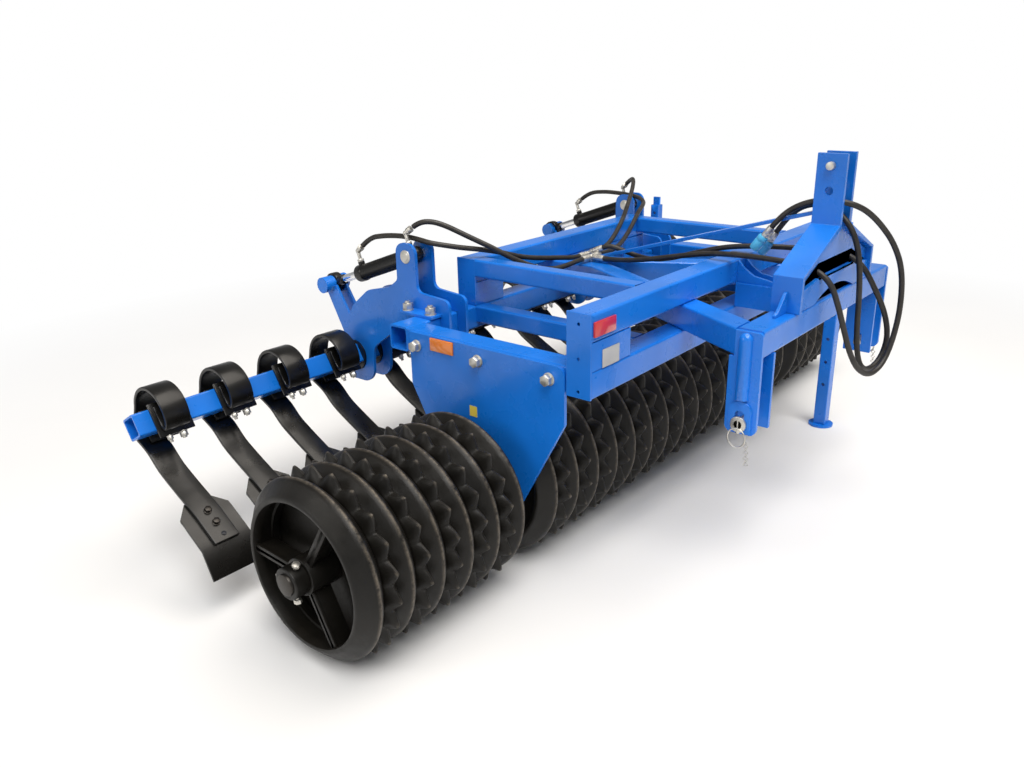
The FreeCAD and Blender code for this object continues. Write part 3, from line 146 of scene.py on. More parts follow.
def turned(section, steps, closed=False):
    """A turned form about its own Z: rings at (height, radius), extruded one by one."""
    (level, radius), *rest = section
    bpy.ops.mesh.primitive_circle_add(vertices=steps, radius=radius, location=(0, 0, 0),
                                      fill_type="NOTHING" if closed else "NGON")
    obj = bpy.context.object
    edit()
    bpy.ops.mesh.select_all(action="SELECT")
    bpy.ops.transform.translate(value=(0, 0, level))
    for height, width in rest + ([section[0]] if closed else []):
        if closed:
            bpy.ops.mesh.extrude_edges_move()
        else:
            bpy.ops.mesh.extrude_region_move()
        bpy.ops.transform.translate(value=(0, 0, height - level))
        bpy.ops.transform.resize(value=(width / radius, width / radius, 1),
                                 center_override=(0, 0, height))
        level, radius = height, width
    if closed:
        bpy.ops.mesh.select_all(action="SELECT")
        bpy.ops.mesh.remove_doubles(threshold=WELD)
    edit(False)
    return obj


PATTERNS = {}


def pattern(key, make):
    """The mesh of a form that repeats, modelled once."""
    if key not in PATTERNS:
        obj = make()
        PATTERNS[key] = obj.data.copy()
        bpy.data.objects.remove(obj)
    return PATTERNS[key]


def stamp(kit, mesh, matrix):
    """A copy of a pattern, with a mesh of its own, put in its place."""
    obj = bpy.data.objects.new("stamp", mesh.copy())
    obj.matrix_world = matrix
    bpy.context.scene.collection.objects.link(obj)
    kit.append(obj)
    return obj


def facing(place, direction, size=1.0):
    """The matrix that stands a form's own Z along a direction at a place."""
    turn = Vector(direction).to_track_quat("Z", "Y").to_matrix().to_4x4()
    return Matrix.Translation(place) @ turn @ Matrix.Scale(size, 4)


def bar(kit, start, end, radius, steps, edge=None):
    """A round bar between two points with softened ends."""
    start, end = Vector(start), Vector(end)
    length = round((end - start).length, 5)
    edge = min(radius * 0.12, length * 0.3) if edge is None else edge
    mid = edge * 0.3
    mesh = pattern(("bar", length, radius, steps, edge), lambda: turned(
        [(0, radius - edge), (mid, radius - mid), (edge, radius), (length - edge, radius),
         (length - mid, radius - mid), (length, radius - edge)], steps))
    stamp(kit, mesh, facing(start, end - start))


def lathe(kit, section, place, direction, steps, closed=True):
    """A turned form put at a place along a direction."""
    key = ("lathe", tuple(section), steps, closed)
    stamp(kit, pattern(key, lambda: turned(section, steps, closed)), facing(place, direction))


def slab(kit, outline, run, edge=0.0):
    """A flat outline extruded along a run, its creases softened."""
    bpy.ops.mesh.primitive_circle_add(vertices=len(outline), fill_type="NGON",
                                      location=(0, 0, 0))
    obj = bpy.context.object
    for vertex, place in zip(obj.data.vertices, outline):
        vertex.co = place
    edit()
    bpy.ops.mesh.select_all(action="SELECT")
    bpy.ops.mesh.extrude_region_move(TRANSFORM_OT_translate={"value": tuple(run)})
    edit(False)
    if edge:
        soften(obj, edge, 2)
    kit.append(obj)
    return obj


def block(kit, low, high):
    """A cube stretched between two corners, its edges softened."""
    low, high = Vector(low), Vector(high)
    bpy.ops.mesh.primitive_cube_add(size=1, location=(low + high) / 2)
    obj = bpy.context.object
    obj.scale = [abs(v) for v in high - low]
    bpy.ops.object.transform_apply(location=True, rotation=True, scale=True)
    soften(obj, PAD_EDGE, 2)
    kit.append(obj)
    return obj


WASHER_HIGH, WASHER_WIDE = 0.12, 0.64      # in shares of the size across the flats


def make_bolt(head, washer):
    """A hexagon head one metre across its flats, on a washer, with a turned-off top."""
    base = WASHER_HIGH if washer else 0.0
    bpy.ops.mesh.primitive_cylinder_add(vertices=6, radius=0.5 / cos(pi / 6), depth=head,
                                        location=(0, 0, base + head / 2))
    top = bpy.context.object
    bpy.ops.object.transform_apply(location=True, rotation=True, scale=True)
    soften(top, 0.045, 2)
    kit = [top]
    dome = turned([(base + head - 0.02, 0.40), (base + head + 0.01, 0.34)], 20)
    kit.append(dome)
    if washer:
        kit.append(turned([(0, 0.60), (0.02, WASHER_WIDE), (0.10, WASHER_WIDE),
                           (WASHER_HIGH, 0.60)], 24))
    return joined(kit)


def bolt(kit, place, direction, size, head=0.65, washer=True):
    """A bolt's head, its size across the flats, its height as a share of that."""
    mesh = pattern(("bolt", head, washer), lambda: make_bolt(head, washer))
    stamp(kit, mesh, facing(place, direction, size))


def loop(kit, place, direction, radius, thickness, squeeze=1.0):
    """A ring of round wire; squeezed, it is a chain's link."""
    key = ("loop", radius, thickness)

    def make():
        """The ring, before it is squeezed."""
        bpy.ops.mesh.primitive_torus_add(major_radius=radius, minor_radius=thickness,
                                         major_segments=28, minor_segments=8,
                                         location=(0, 0, 0))
        return bpy.context.object
    stamp(kit, pattern(key, make),
          facing(place, direction) @ Matrix.Diagonal((1, squeeze, 1, 1)))


def joined(kit):
    """One object from many, its faces pointing outwards."""
    alone(kit[0])
    for obj in kit:
        obj.select_set(True)
    if len(kit) > 1:
        bpy.ops.object.join()
    bpy.ops.object.transform_apply(location=True, rotation=True, scale=True)
    obj = alone(bpy.context.object)
    edit()
    bpy.ops.mesh.select_all(action="SELECT")
    bpy.ops.mesh.normals_make_consistent(inside=False)
    edit(False)
    return obj


def piece(name, kit, material, body, angle, stands_for=()):
    """Joins a kit into one finished piece that rides on a body."""
    obj = joined(kit)
    obj.name = obj.data.name = name
    obj.data.materials.clear()
    obj.data.materials.append(bpy.data.materials[material])
    for face in obj.data.polygons:
        face.material_index = 0
    alone(obj)
    bpy.ops.object.shade_smooth_by_angle(angle=radians(angle))
    if stands_for:
        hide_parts(*stands_for)
    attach(obj, body)
    return obj


def finish_with(obj, kind, **facts):
    """Adds a modifier and applies it."""
    alone(obj)
    modifier = obj.modifiers.new(kind.lower(), kind)
    for key, value in facts.items():
        setattr(modifier, key, value)
    bpy.ops.object.modifier_apply(modifier=modifier.name)


def dress(node, material, edge=None, least=0.008):
    """A copy of a node's own shape whose edges are rounded as the real one's are."""
    obj = bpy.data.objects.new(node, NODES[node].data.copy())
    bpy.context.scene.collection.objects.link(obj)
    alone(obj)
    edit()
    bpy.ops.mesh.select_all(action="SELECT")
    bpy.ops.mesh.remove_doubles(threshold=2e-5)
    bpy.ops.mesh.dissolve_limited(angle_limit=radians(1))
    edit(False)
    if edge:
        soften(obj, edge, 3, least)
    obj = piece(node + "_dressed", [obj], material, NODES[node]["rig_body"], 40, (node,))
    finish_with(obj, "WEIGHTED_NORMAL", keep_sharp=True, weight=80)
    return obj


def rounded(points, corners, steps=3, closed=True):
    """A section's points with some corners turned into arcs: {corner: reach}."""
    made = []
    for i, p in enumerate(points):
        if i not in corners or (not closed and i in (0, len(points) - 1)):
            made.append(p)
            continue
        p = Vector(p)
        a, b = Vector(points[i - 1]) - p, Vector(points[(i + 1) % len(points)]) - p
        size = min(corners[i], a.length * 0.49, b.length * 0.49)
        a, b = p + a.normalized() * size, p + b.normalized() * size
        for k in range(steps + 1):
            t = k / steps
            made.append(tuple(a * (1 - t) ** 2 + p * (2 * t * (1 - t)) + b * t ** 2))
    return made


# ------------------------------------------------------------------- materials
MIX_A, MIX_B, MIX_RESULT = 6, 7, 2      # the colour sockets of a mix node
METALLIC = 0.95


def node_in(tree, kind, **facts):
    """A new node in a tree, with some of its inputs or properties set."""
    made = tree.nodes.new(kind)
    for key, value in facts.items():
        if key in made.inputs:
            made.inputs[key].default_value = value
        else:
            setattr(made, key, value)
    return made


class Shader:
    """A short way to wire a material's nodes."""

    def __init__(self, name, **sockets):
        self.material = bpy.data.materials.new(name)
        self.material.use_nodes = True
        self.tree = self.material.node_tree
        self.skin = self.tree.nodes["Principled BSDF"]
        for key, value in sockets.items():
            self.skin.inputs[key.replace("_", " ")].default_value = value
        self.place = self.node("ShaderNodeTexCoord").outputs["Object"]

    def node(self, kind, **facts):
        """A new node of this material."""
        return node_in(self.tree, kind, **facts)

    def link(self, source, target):
        """Joins an output to an input."""
        self.tree.links.new(source, target)

    def noise(self, scale, detail=3, roughness=0.5, stretch=None):
        """Noise on the object's own coordinates, stretched if asked."""
        made = self.node("ShaderNodeTexNoise", Scale=scale, Detail=detail, Roughness=roughness)
        if stretch:
            turn = self.node("ShaderNodeMapping")
            turn.inputs["Scale"].default_value = stretch
            self.link(self.place, turn.inputs["Vector"])
            self.link(turn.outputs["Vector"], made.inputs["Vector"])
        else:
            self.link(self.place, made.inputs["Vector"])
        return made.outputs["Fac"]

    def ramp(self, source, low, high, out_low=0.0, out_high=1.0):
        """A value taken from one range into another."""
        made = self.node("ShaderNodeMapRange")
        for key, value in (("From Min", low), ("From Max", high), ("To Min", out_low),
                           ("To Max", out_high)):
            made.inputs[key].default_value = value
        self.link(source, made.inputs["Value"])
        return made.outputs["Result"]

    def math(self, operation, a, b):
        """Arithmetic on two values, each a number or an output."""
        made = self.node("ShaderNodeMath", operation=operation)
        for socket, value in zip(made.inputs, (a, b)):
            if isinstance(value, (int, float)):
                socket.default_value = value
            else:
                self.link(value, socket)
        return made.outputs[0]

    def mix(self, factor, a, b):
        """Colour a mixed with colour b, each a colour or an output."""
        made = self.node("ShaderNodeMix", data_type="RGBA")
        for socket, value in ((made.inputs[0], factor), (made.inputs[MIX_A], a),
                              (made.inputs[MIX_B], b)):
            if hasattr(value, "is_output"):
                self.link(value, socket)
            elif isinstance(value, (int, float)):
                socket.default_value = value
            else:
                socket.default_value = (*value[:3], 1)
        return made.outputs[MIX_RESULT]

    def group(self, name, **values):
        """The output of a shared node group with some of its inputs set."""
        made = self.node("ShaderNodeGroup")
        made.node_tree = bpy.data.node_groups[name]
        for key, value in values.items():
            made.inputs[key].default_value = value
        return made.outputs["Fac"]

    def bump(self, height, strength, distance):
        """Raises the surface by a height, over any bump that is there."""
        made = self.node("ShaderNodeBump", Strength=strength, Distance=distance)
        self.link(height, made.inputs["Height"])
        previous = self.skin.inputs["Normal"]
        if previous.is_linked:
            self.link(previous.links[0].from_socket, made.inputs["Normal"])
        self.link(made.outputs["Normal"], previous)


def make_group(name, inputs, build):
    """A shared node group with float inputs and one factor as its output."""
    tree = bpy.data.node_groups.new(name, "ShaderNodeTree")
    for key, value in inputs:
        socket = tree.interface.new_socket(key, in_out="INPUT", socket_type="NodeSocketFloat")
        socket.default_value = value
    tree.interface.new_socket("Fac", in_out="OUTPUT", socket_type="NodeSocketFloat")
    entry, leave = tree.nodes.new("NodeGroupInput"), tree.nodes.new("NodeGroupOutput")
    build(tree, entry, leave)


def dust_group(tree, entry, leave):
    """Dust that settles on faces that look up, in clouds."""
    spot = node_in(tree, "ShaderNodeTexCoord")
    cloud = node_in(tree, "ShaderNodeTexNoise", Detail=5, Roughness=0.6)
    surface = node_in(tree, "ShaderNodeNewGeometry")
    parts = node_in(tree, "ShaderNodeSeparateXYZ")
    up = node_in(tree, "ShaderNodeMapRange")
    up.inputs["From Min"].default_value, up.inputs["From Max"].default_value = 0.3, 1.0
    thick = node_in(tree, "ShaderNodeMapRange")
    thick.inputs["From Min"].default_value, thick.inputs["From Max"].default_value = 0.42, 0.75
    both = node_in(tree, "ShaderNodeMath", operation="MULTIPLY")
    amount = node_in(tree, "ShaderNodeMath", operation="MULTIPLY")
    for a, b in ((spot.outputs["Object"], cloud.inputs["Vector"]),
                 (entry.outputs["Scale"], cloud.inputs["Scale"]),
                 (surface.outputs["Normal"], parts.inputs[0]),
                 (parts.outputs["Z"], up.inputs["Value"]),
                 (cloud.outputs["Fac"], thick.inputs["Value"]),
                 (up.outputs[0], both.inputs[0]), (thick.outputs[0], both.inputs[1]),
                 (both.outputs[0], amount.inputs[0]), (entry.outputs["Amount"], amount.inputs[1]),
                 (amount.outputs[0], leave.inputs["Fac"])):
        tree.links.new(a, b)


def wear_group(tree, entry, leave):
    """Rubbed ridges: the piece's own wear attribute, broken up by fine grain."""
    worn = node_in(tree, "ShaderNodeAttribute", attribute_name="worn")
    spot = node_in(tree, "ShaderNodeTexCoord")
    grain = node_in(tree, "ShaderNodeTexNoise", Detail=6, Roughness=0.7)
    breaks = node_in(tree, "ShaderNodeMapRange")
    breaks.inputs["From Min"].default_value = 0.35
    breaks.inputs["From Max"].default_value = 0.62
    both = node_in(tree, "ShaderNodeMath", operation="MULTIPLY")
    amount = node_in(tree, "ShaderNodeMath", operation="MULTIPLY", use_clamp=True)
    for a, b in ((spot.outputs["Object"], grain.inputs["Vector"]),
                 (entry.outputs["Scale"], grain.inputs["Scale"]),
                 (grain.outputs["Fac"], breaks.inputs["Value"]),
                 (worn.outputs["Fac"], both.inputs[0]), (breaks.outputs[0], both.inputs[1]),
                 (both.outputs[0], amount.inputs[0]), (entry.outputs["Amount"], amount.inputs[1]),
                 (amount.outputs[0], leave.inputs["Fac"])):
        tree.links.new(a, b)


def grain_group(tree, entry, leave):
    """Coarse and fine grain added together, for bumps."""
    spot = node_in(tree, "ShaderNodeTexCoord")
    coarse = node_in(tree, "ShaderNodeTexNoise", Detail=2)
    fine = node_in(tree, "ShaderNodeTexNoise", Detail=4, Roughness=0.65)
    finer = node_in(tree, "ShaderNodeMath", operation="MULTIPLY")
    finer.inputs[1].default_value = 6.0
    total = node_in(tree, "ShaderNodeMath", operation="ADD")
    for a, b in ((spot.outputs["Object"], coarse.inputs["Vector"]),
                 (spot.outputs["Object"], fine.inputs["Vector"]),
                 (entry.outputs["Scale"], coarse.inputs["Scale"]),
                 (entry.outputs["Scale"], finer.inputs[0]),
                 (finer.outputs[0], fine.inputs["Scale"]),
                 (coarse.outputs["Fac"], total.inputs[0]), (fine.outputs["Fac"], total.inputs[1]),
                 (total.outputs[0], leave.inputs["Fac"])):
        tree.links.new(a, b)


def paint(name, colour, roughness, dusty, peel, coat):
    """Sprayed paint: slight shade changes, orange peel, dust on top, a clear gloss."""
    made = Shader(name, Coat_Weight=coat, Coat_Roughness=0.12, IOR=1.42)
    light = [min(1, c * 1.25 + 0.004) for c in colour]
    dark = [c * 0.82 for c in colour]
    shade = made.mix(made.ramp(made.noise(2.2, 4), 0.3, 0.7), dark, light)
    dust = made.group("dust", Scale=9.0, Amount=dusty)
    made.link(made.mix(dust, shade, (0.30, 0.29, 0.27)), made.skin.inputs["Base Color"])
    rough = made.ramp(made.noise(14, 3), 0.3, 0.7, roughness * 0.8, roughness * 1.2)
    made.link(made.math("ADD", rough, made.math("MULTIPLY", dust, 0.35)),
              made.skin.inputs["Roughness"])
    made.bump(made.group("grain", Scale=90.0), peel, 0.0005)


def cast_iron(name, colour):
    """Dark primed castings: sandy grain, brown dust and light rubbed ridges."""
    made = Shader(name, Coat_Weight=0.0, IOR=1.36)
    shade = made.mix(made.ramp(made.noise(6, 5, 0.6), 0.3, 0.7), [c * 0.6 for c in colour],
                     [c * 1.5 for c in colour])
    dust = made.group("dust", Scale=14.0, Amount=0.10)
    wear = made.group("wear", Scale=55.0, Amount=0.85)
    brown = made.mix(dust, shade, (0.075, 0.062, 0.044))
    made.link(made.mix(wear, brown, (0.17, 0.145, 0.115)), made.skin.inputs["Base Color"])
    made.link(made.ramp(made.noise(25, 4), 0.3, 0.7, 0.34, 0.50),
              made.skin.inputs["Roughness"])
    made.link(made.math("MULTIPLY", wear, 0.5), made.skin.inputs["Metallic"])
    made.bump(made.group("grain", Scale=160.0), 0.35, 0.0008)


def metal(name, colour, roughness, scale, stretch=None):
    """Plated or turned metal with fine marks."""
    made = Shader(name, Coat_Weight=0.0)
    marks = made.noise(scale, 4, 0.6, stretch)
    made.link(made.mix(made.ramp(marks, 0.3, 0.7), [c * 0.7 for c in colour], colour),
              made.skin.inputs["Base Color"])
    made.link(made.ramp(marks, 0.25, 0.75, roughness * 1.3, roughness * 0.75),
              made.skin.inputs["Roughness"])
    made.link(made.ramp(made.noise(scale * 0.5), 0.2, 0.5, METALLIC * 0.85, METALLIC),
              made.skin.inputs["Metallic"])
    made.bump(marks, 0.12, 0.0003)


def rubber(name, colour):
    """Hose rubber with the wrap's fine weave and a little dust."""
    made = Shader(name, IOR=1.45, Coat_Weight=0.0)
    dust = made.group("dust", Scale=18.0, Amount=0.35)
    shade = made.mix(made.ramp(made.noise(30, 3), 0.3, 0.7), [c * 0.7 for c in colour],
                     [c * 1.4 for c in colour])
    made.link(made.mix(dust, shade, (0.12, 0.105, 0.085)), made.skin.inputs["Base Color"])
    made.link(made.ramp(made.noise(40, 3), 0.3, 0.7, 0.36, 0.5), made.skin.inputs["Roughness"])
    weave = made.node("ShaderNodeTexVoronoi", Scale=900.0)
    made.link(made.place, weave.inputs["Vector"])
    made.bump(weave.outputs["Distance"], 0.25, 0.0004)


def reflector(name, colour):
    """Prismatic plastic: a fine grid of cube corners under a smooth skin."""
    made = Shader(name, Coat_Weight=1.0, Coat_Roughness=0.08, IOR=1.49)
    grid = made.node("ShaderNodeTexVoronoi", Scale=240.0, distance="CHEBYCHEV")
    grid.inputs["Randomness"].default_value = 0.0
    made.link(made.place, grid.inputs["Vector"])
    made.link(made.mix(made.ramp(grid.outputs["Distance"], 0.0, 0.6), [c * 1.1 for c in colour],
                       [c * 0.72 for c in colour]), made.skin.inputs["Base Color"])
    made.link(made.ramp(grid.outputs["Distance"], 0.0, 0.6, 0.22, 0.45),
              made.skin.inputs["Roughness"])
    made.bump(grid.outputs["Distance"], 0.3, 0.0008)


def film(name, colour, roughness=0.35):
    """A sticker's film: almost even, with faint print haze and faint waves over it."""
    made = Shader(name, Coat_Weight=0.3, Coat_Roughness=0.1, IOR=1.45)
    made.link(made.mix(made.ramp(made.noise(35, 4), 0.3, 0.7, 0, 0.5),
                       [c * 0.93 for c in colour], colour), made.skin.inputs["Base Color"])
    made.link(made.ramp(made.noise(60, 3), 0.3, 0.7, roughness * 0.8, roughness * 1.2),
              made.skin.inputs["Roughness"])
    made.bump(made.noise(20, 2), 0.05, 0.0005)


def make_materials():
    """Every finish on the machine."""
    look = settings()
    make_group("dust", (("Scale", 10.0), ("Amount", 0.2)), dust_group)
    make_group("wear", (("Scale", 50.0), ("Amount", 1.0)), wear_group)
    make_group("grain", (("Scale", 100.0),), grain_group)
    paint("blue_gloss", tuple(look.paint), 0.30, 0.03, 0.05, 0.30)
    paint("black_gloss", tuple(look.black), 0.30, 0.03, 0.06, 0.12)
    paint("cap_blue", (0.06, 0.36, 0.62), 0.4, 0.03, 0.05, 0.1)
    cast_iron("ring_iron", tuple(look.iron))
    metal("dark_steel", (0.060, 0.055, 0.050), 0.38, 60, (1, 8, 8))
    metal("zinc", (0.72, 0.70, 0.66), 0.30, 90)
    metal("chrome", (0.80, 0.80, 0.80), 0.10, 40, (1, 4, 4))
    rubber("hose_rubber", (0.020, 0.0175, 0.015))
    reflector("red_prism", (0.62, 0.010, 0.012))
    reflector("orange_prism", (0.85, 0.22, 0.008))
    film("label_silver", (0.42, 0.42, 0.42), 0.4)
    film("label_yellow", (0.80, 0.62, 0.09))
    # painted shade: a near-black film that stands for the shade seen inside the blades' spare
    # holes
    film("hole_painted_shade", (0.004, 0.006, 0.012), 0.8)


# ----------------------------------------------------------------------- cords
# The points of each hose's line, from where it leaves to its far end.
HOSE_ROUTES = {
    "hose_near_rod": [
        (-0.669, 0.71361, 0.89156), (-0.669, 0.672, 0.924), (-0.662, 0.612, 0.936),
        (-0.652, 0.552, 0.941), (-0.648, 0.496, 0.941), (-0.648, 0.446, 0.937),
        (-0.644, 0.402, 0.930), (-0.612, 0.368, 0.921), (-0.562, 0.332, 0.908),
        (-0.504, 0.299, 0.897), (-0.440, 0.266, 0.880), (-0.360, 0.241, 0.852),
        (-0.262, 0.222, 0.834), (-0.168, 0.212, 0.821), (-0.094, 0.210, 0.807),
        (-0.029, 0.210, 0.807)],
    "hose_near_base": [
        (-0.65787, 0.46336, 0.97985), (-0.6493, 0.4419, 0.9966), (-0.622, 0.408, 0.998),
        (-0.592, 0.374, 0.982), (-0.560, 0.338, 0.957), (-0.524, 0.300, 0.930),
        (-0.485, 0.262, 0.902), (-0.440, 0.228, 0.868), (-0.388, 0.202, 0.838),
        (-0.325, 0.182, 0.812), (-0.250, 0.170, 0.800), (-0.180, 0.168, 0.803),
        (-0.116, 0.172, 0.806), (-0.063, 0.172, 0.806)],
    "hose_far_rod": [
        (-0.011, 0.172, 0.806), (0.045, 0.172, 0.806), (0.110, 0.177, 0.806),
        (0.180, 0.193, 0.808), (0.250, 0.215, 0.818), (0.330, 0.241, 0.838),
        (0.410, 0.267, 0.864), (0.480, 0.291, 0.892), (0.552, 0.315, 0.906),
        (0.612, 0.344, 0.914), (0.648, 0.390, 0.925), (0.650, 0.450, 0.933),
        (0.650, 0.515, 0.937), (0.656, 0.580, 0.936), (0.669, 0.672, 0.924),
        (0.669, 0.71361, 0.89156)],
    "hose_far_base": [
        (0.023, 0.210, 0.807), (0.084, 0.210, 0.807), (0.156, 0.222, 0.819),
        (0.226, 0.240, 0.840), (0.290, 0.260, 0.864), (0.352, 0.282, 0.889),
        (0.414, 0.308, 0.912), (0.480, 0.335, 0.946), (0.540, 0.360, 0.976),
        (0.596, 0.390, 1.002), (0.6437, 0.4279, 1.0075), (0.65787, 0.46336, 0.97985)],
    "hose_main_near": [
        (-0.037, 0.144, 0.806), (-0.037, 0.090, 0.806), (-0.050, 0.014, 0.814),
        (-0.066, -0.070, 0.829), (-0.074, -0.150, 0.846), (-0.082, -0.235, 0.866),
        (-0.090, -0.325, 0.885), (-0.099, -0.415, 0.894), (-0.108, -0.510, 0.897),
        (-0.120, -0.610, 0.897), (-0.136, -0.690, 0.896), (-0.131, -0.756, 0.858),
        (-0.106, -0.780, 0.774), (-0.072, -0.793, 0.695), (-0.040, -0.806, 0.620),
        (0.000, -0.824, 0.556), (0.058, -0.846, 0.524), (0.118, -0.866, 0.554),
        (0.158, -0.876, 0.636), (0.182, -0.878, 0.735), (0.180, -0.868, 0.850),
        (0.148, -0.842, 0.935), (0.100, -0.808, 1.000), (0.050, -0.776, 1.046),
        (0.006, -0.738, 1.070), (-0.012, -0.680, 1.076), (-0.016, -0.626, 1.068),
        (-0.025, -0.578, 1.046), (-0.034, -0.540, 1.012), (-0.038, -0.512, 0.972)],
    "hose_main_far": [
        (0.008, 0.184, 0.821), (0.0256, 0.1424, 0.8434), (0.036, 0.096, 0.832),
        (0.040, 0.036, 0.816), (0.037, -0.040, 0.808), (0.034, -0.115, 0.820),
        (0.043, -0.210, 0.850), (0.054, -0.310, 0.880), (0.068, -0.400, 0.892),
        (0.084, -0.495, 0.897), (0.106, -0.600, 0.897), (0.134, -0.690, 0.896),
        (0.146, -0.756, 0.858), (0.164, -0.794, 0.786), (0.184, -0.826, 0.715),
        (0.196, -0.844, 0.645), (0.190, -0.846, 0.590), (0.160, -0.838, 0.543),
        (0.112, -0.822, 0.523), (0.067, -0.810, 0.546), (0.044, -0.802, 0.600),
        (0.034, -0.797, 0.670), (0.030, -0.794, 0.755), (0.027, -0.789, 0.840),
        (0.022, -0.779, 0.918), (0.015, -0.756, 0.988), (0.013, -0.708, 1.040),
        (0.015, -0.645, 1.060), (0.022, -0.594, 1.048), (0.030, -0.555, 1.020),
        (0.036, -0.524, 0.984), (0.038, -0.498, 0.944)],
}


def lay_hose(name):
    """One hose as a smooth spline of round section along its route."""
    curve = bpy.data.curves.new(name + "_run", "CURVE")
    curve.dimensions = "3D"
    curve.bevel_depth = settings().hose
    curve.bevel_resolution = 4
    curve.resolution_u = 6
    curve.use_fill_caps = True
    spline = curve.splines.new("NURBS")
    spline.points.add(len(HOSE_ROUTES[name]) - 1)
    for point, place in zip(spline.points, HOSE_ROUTES[name]):
        point.co = (*place, 1)
    spline.order_u = 3
    spline.use_endpoint_u = True
    obj = bpy.data.objects.new(name + "_run", curve)
    bpy.context.scene.collection.objects.link(obj)
    curve.materials.append(bpy.data.materials["hose_rubber"])
    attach(obj, "frame")
    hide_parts(name)
    return obj


def hose_line(name):
    """The smooth line that a hose follows, point by point."""
    plain = bpy.data.objects[name + "_run"].copy()
    plain.data = plain.data.copy()
    plain.data.bevel_depth = 0
    mesh = bpy.data.meshes.new_from_object(plain)
    line = [v.co.copy() for v in mesh.vertices]
    curve = plain.data
    bpy.data.objects.remove(plain)
    bpy.data.curves.remove(curve)
    bpy.data.meshes.remove(mesh)
    return line


CAMERA_PLACE = (-2.6595, -1.6362, 1.4739)
CAMERA_TURN, CAMERA_TILT, CAMERA_ROLL = radians(-49.94), radians(69.81), radians(-1.22)
STUDIO_WIDE = 60


def add_camera():
    """The camera, from in front of the roller's near end."""
    view = bpy.data.cameras.new("view")
    view.lens, view.sensor_width = 30.29, 36.0
    view.clip_start, view.clip_end = 0.05, STUDIO_WIDE
    camera = bpy.data.objects.new("view", view)
    bpy.context.scene.collection.objects.link(camera)
    camera.matrix_world = (Matrix.Translation(CAMERA_PLACE)
                           @ Matrix.Rotation(CAMERA_TURN, 4, "Z")
                           @ Matrix.Rotation(CAMERA_TILT, 4, "X")
                           @ Matrix.Rotation(CAMERA_ROLL, 4, "Z"))
    bpy.context.scene.camera = camera


def add_lamp(name, place, aim, size, power, colour):
    """A square lamp that looks at a point."""
    light = bpy.data.lights.new(name, "AREA")
    light.shape, light.size, light.energy, light.color = "SQUARE", size, power, colour
    lamp = bpy.data.objects.new(name, light)
    bpy.context.scene.collection.objects.link(lamp)
    lamp.location = place
    lamp.rotation_euler = (Vector(aim) - Vector(place)).to_track_quat("-Z", "Y").to_euler()


def add_floor():
    """A pale floor that fades into white away from the machine."""
    floor = Shader("studio_floor")
    floor.link(floor.mix(floor.ramp(floor.noise(0.7, 4), 0.3, 0.7), (0.76, 0.76, 0.76),
                         (0.80, 0.80, 0.80)), floor.skin.inputs["Base Color"])
    floor.link(floor.ramp(floor.noise(3, 3), 0.3, 0.7, 0.75, 0.85),
               floor.skin.inputs["Roughness"])
    far = floor.node("ShaderNodeVectorMath", operation="LENGTH")
    floor.link(floor.place, far.inputs[0])
    seen = floor.node("ShaderNodeLightPath").outputs["Is Camera Ray"]
    white = floor.node("ShaderNodeEmission", Strength=1.0)
    fade = floor.node("ShaderNodeMixShader")
    away = floor.ramp(far.outputs["Value"], 2.0, 4.2)
    floor.link(floor.math("MULTIPLY", away, seen), fade.inputs[0])
    floor.link(floor.skin.outputs[0], fade.inputs[1])
    floor.link(white.outputs[0], fade.inputs[2])
    floor.link(fade.outputs[0], floor.tree.nodes["Material Output"].inputs["Surface"])
    bpy.ops.mesh.primitive_plane_add(size=STUDIO_WIDE, location=(0, 0, -0.0006))
    ground = bpy.context.object
    bpy.ops.object.transform_apply(location=True)
    ground.name = "studio_ground"
    ground.data.materials.append(floor.material)


def add_studio():
    """The floor, a surround that is darker overhead and white to the camera, and lamps."""
    add_floor()
    world = bpy.data.worlds.new("studio")
    bpy.context.scene.world = world
    world.use_nodes = True
    nodes, link = world.node_tree.nodes, world.node_tree.links.new
    spot, parts = nodes.new("ShaderNodeTexCoord"), nodes.new("ShaderNodeSeparateXYZ")
    height, tone = nodes.new("ShaderNodeMapRange"), nodes.new("ShaderNodeMix")
    paths, shown = nodes.new("ShaderNodeLightPath"), nodes.new("ShaderNodeMix")
    height.inputs["From Min"].default_value = 0.05
    height.inputs["From Max"].default_value = 0.45
    height.interpolation_type = "SMOOTHSTEP"
    tone.data_type = shown.data_type = "RGBA"
    tone.inputs[MIX_A].default_value = (0.52, 0.53, 0.54, 1)
    tone.inputs[MIX_B].default_value = (0.20, 0.20, 0.205, 1)
    shown.inputs[MIX_B].default_value = (1, 1, 1, 1)
    link(spot.outputs["Generated"], parts.inputs[0])
    link(parts.outputs["Z"], height.inputs["Value"])
    link(height.outputs["Result"], tone.inputs[0])
    link(paths.outputs["Is Camera Ray"], shown.inputs[0])
    link(tone.outputs[MIX_RESULT], shown.inputs[MIX_A])
    link(shown.outputs[MIX_RESULT], nodes["Background"].inputs["Color"])
    sun = bpy.data.lights.new("daylight", "SUN")
    sun.energy, sun.angle, sun.color = 2.5, radians(38), (1.0, 0.985, 0.96)
    lamp = bpy.data.objects.new("daylight", sun)
    bpy.context.scene.collection.objects.link(lamp)
    lamp.rotation_euler = (radians(24), radians(-20), 0)
    add_lamp("roof", (0.2, -0.9, 4.6), (-0.2, 0, 0.5), 3.6, 150, (1.0, 0.93, 0.84))
    add_lamp("side", (-5.0, 1.5, 2.6), (-0.4, 0, 0.4), 2.2, 45, (1.0, 0.97, 0.93))
    bpy.context.scene.view_settings.view_transform = "Standard"


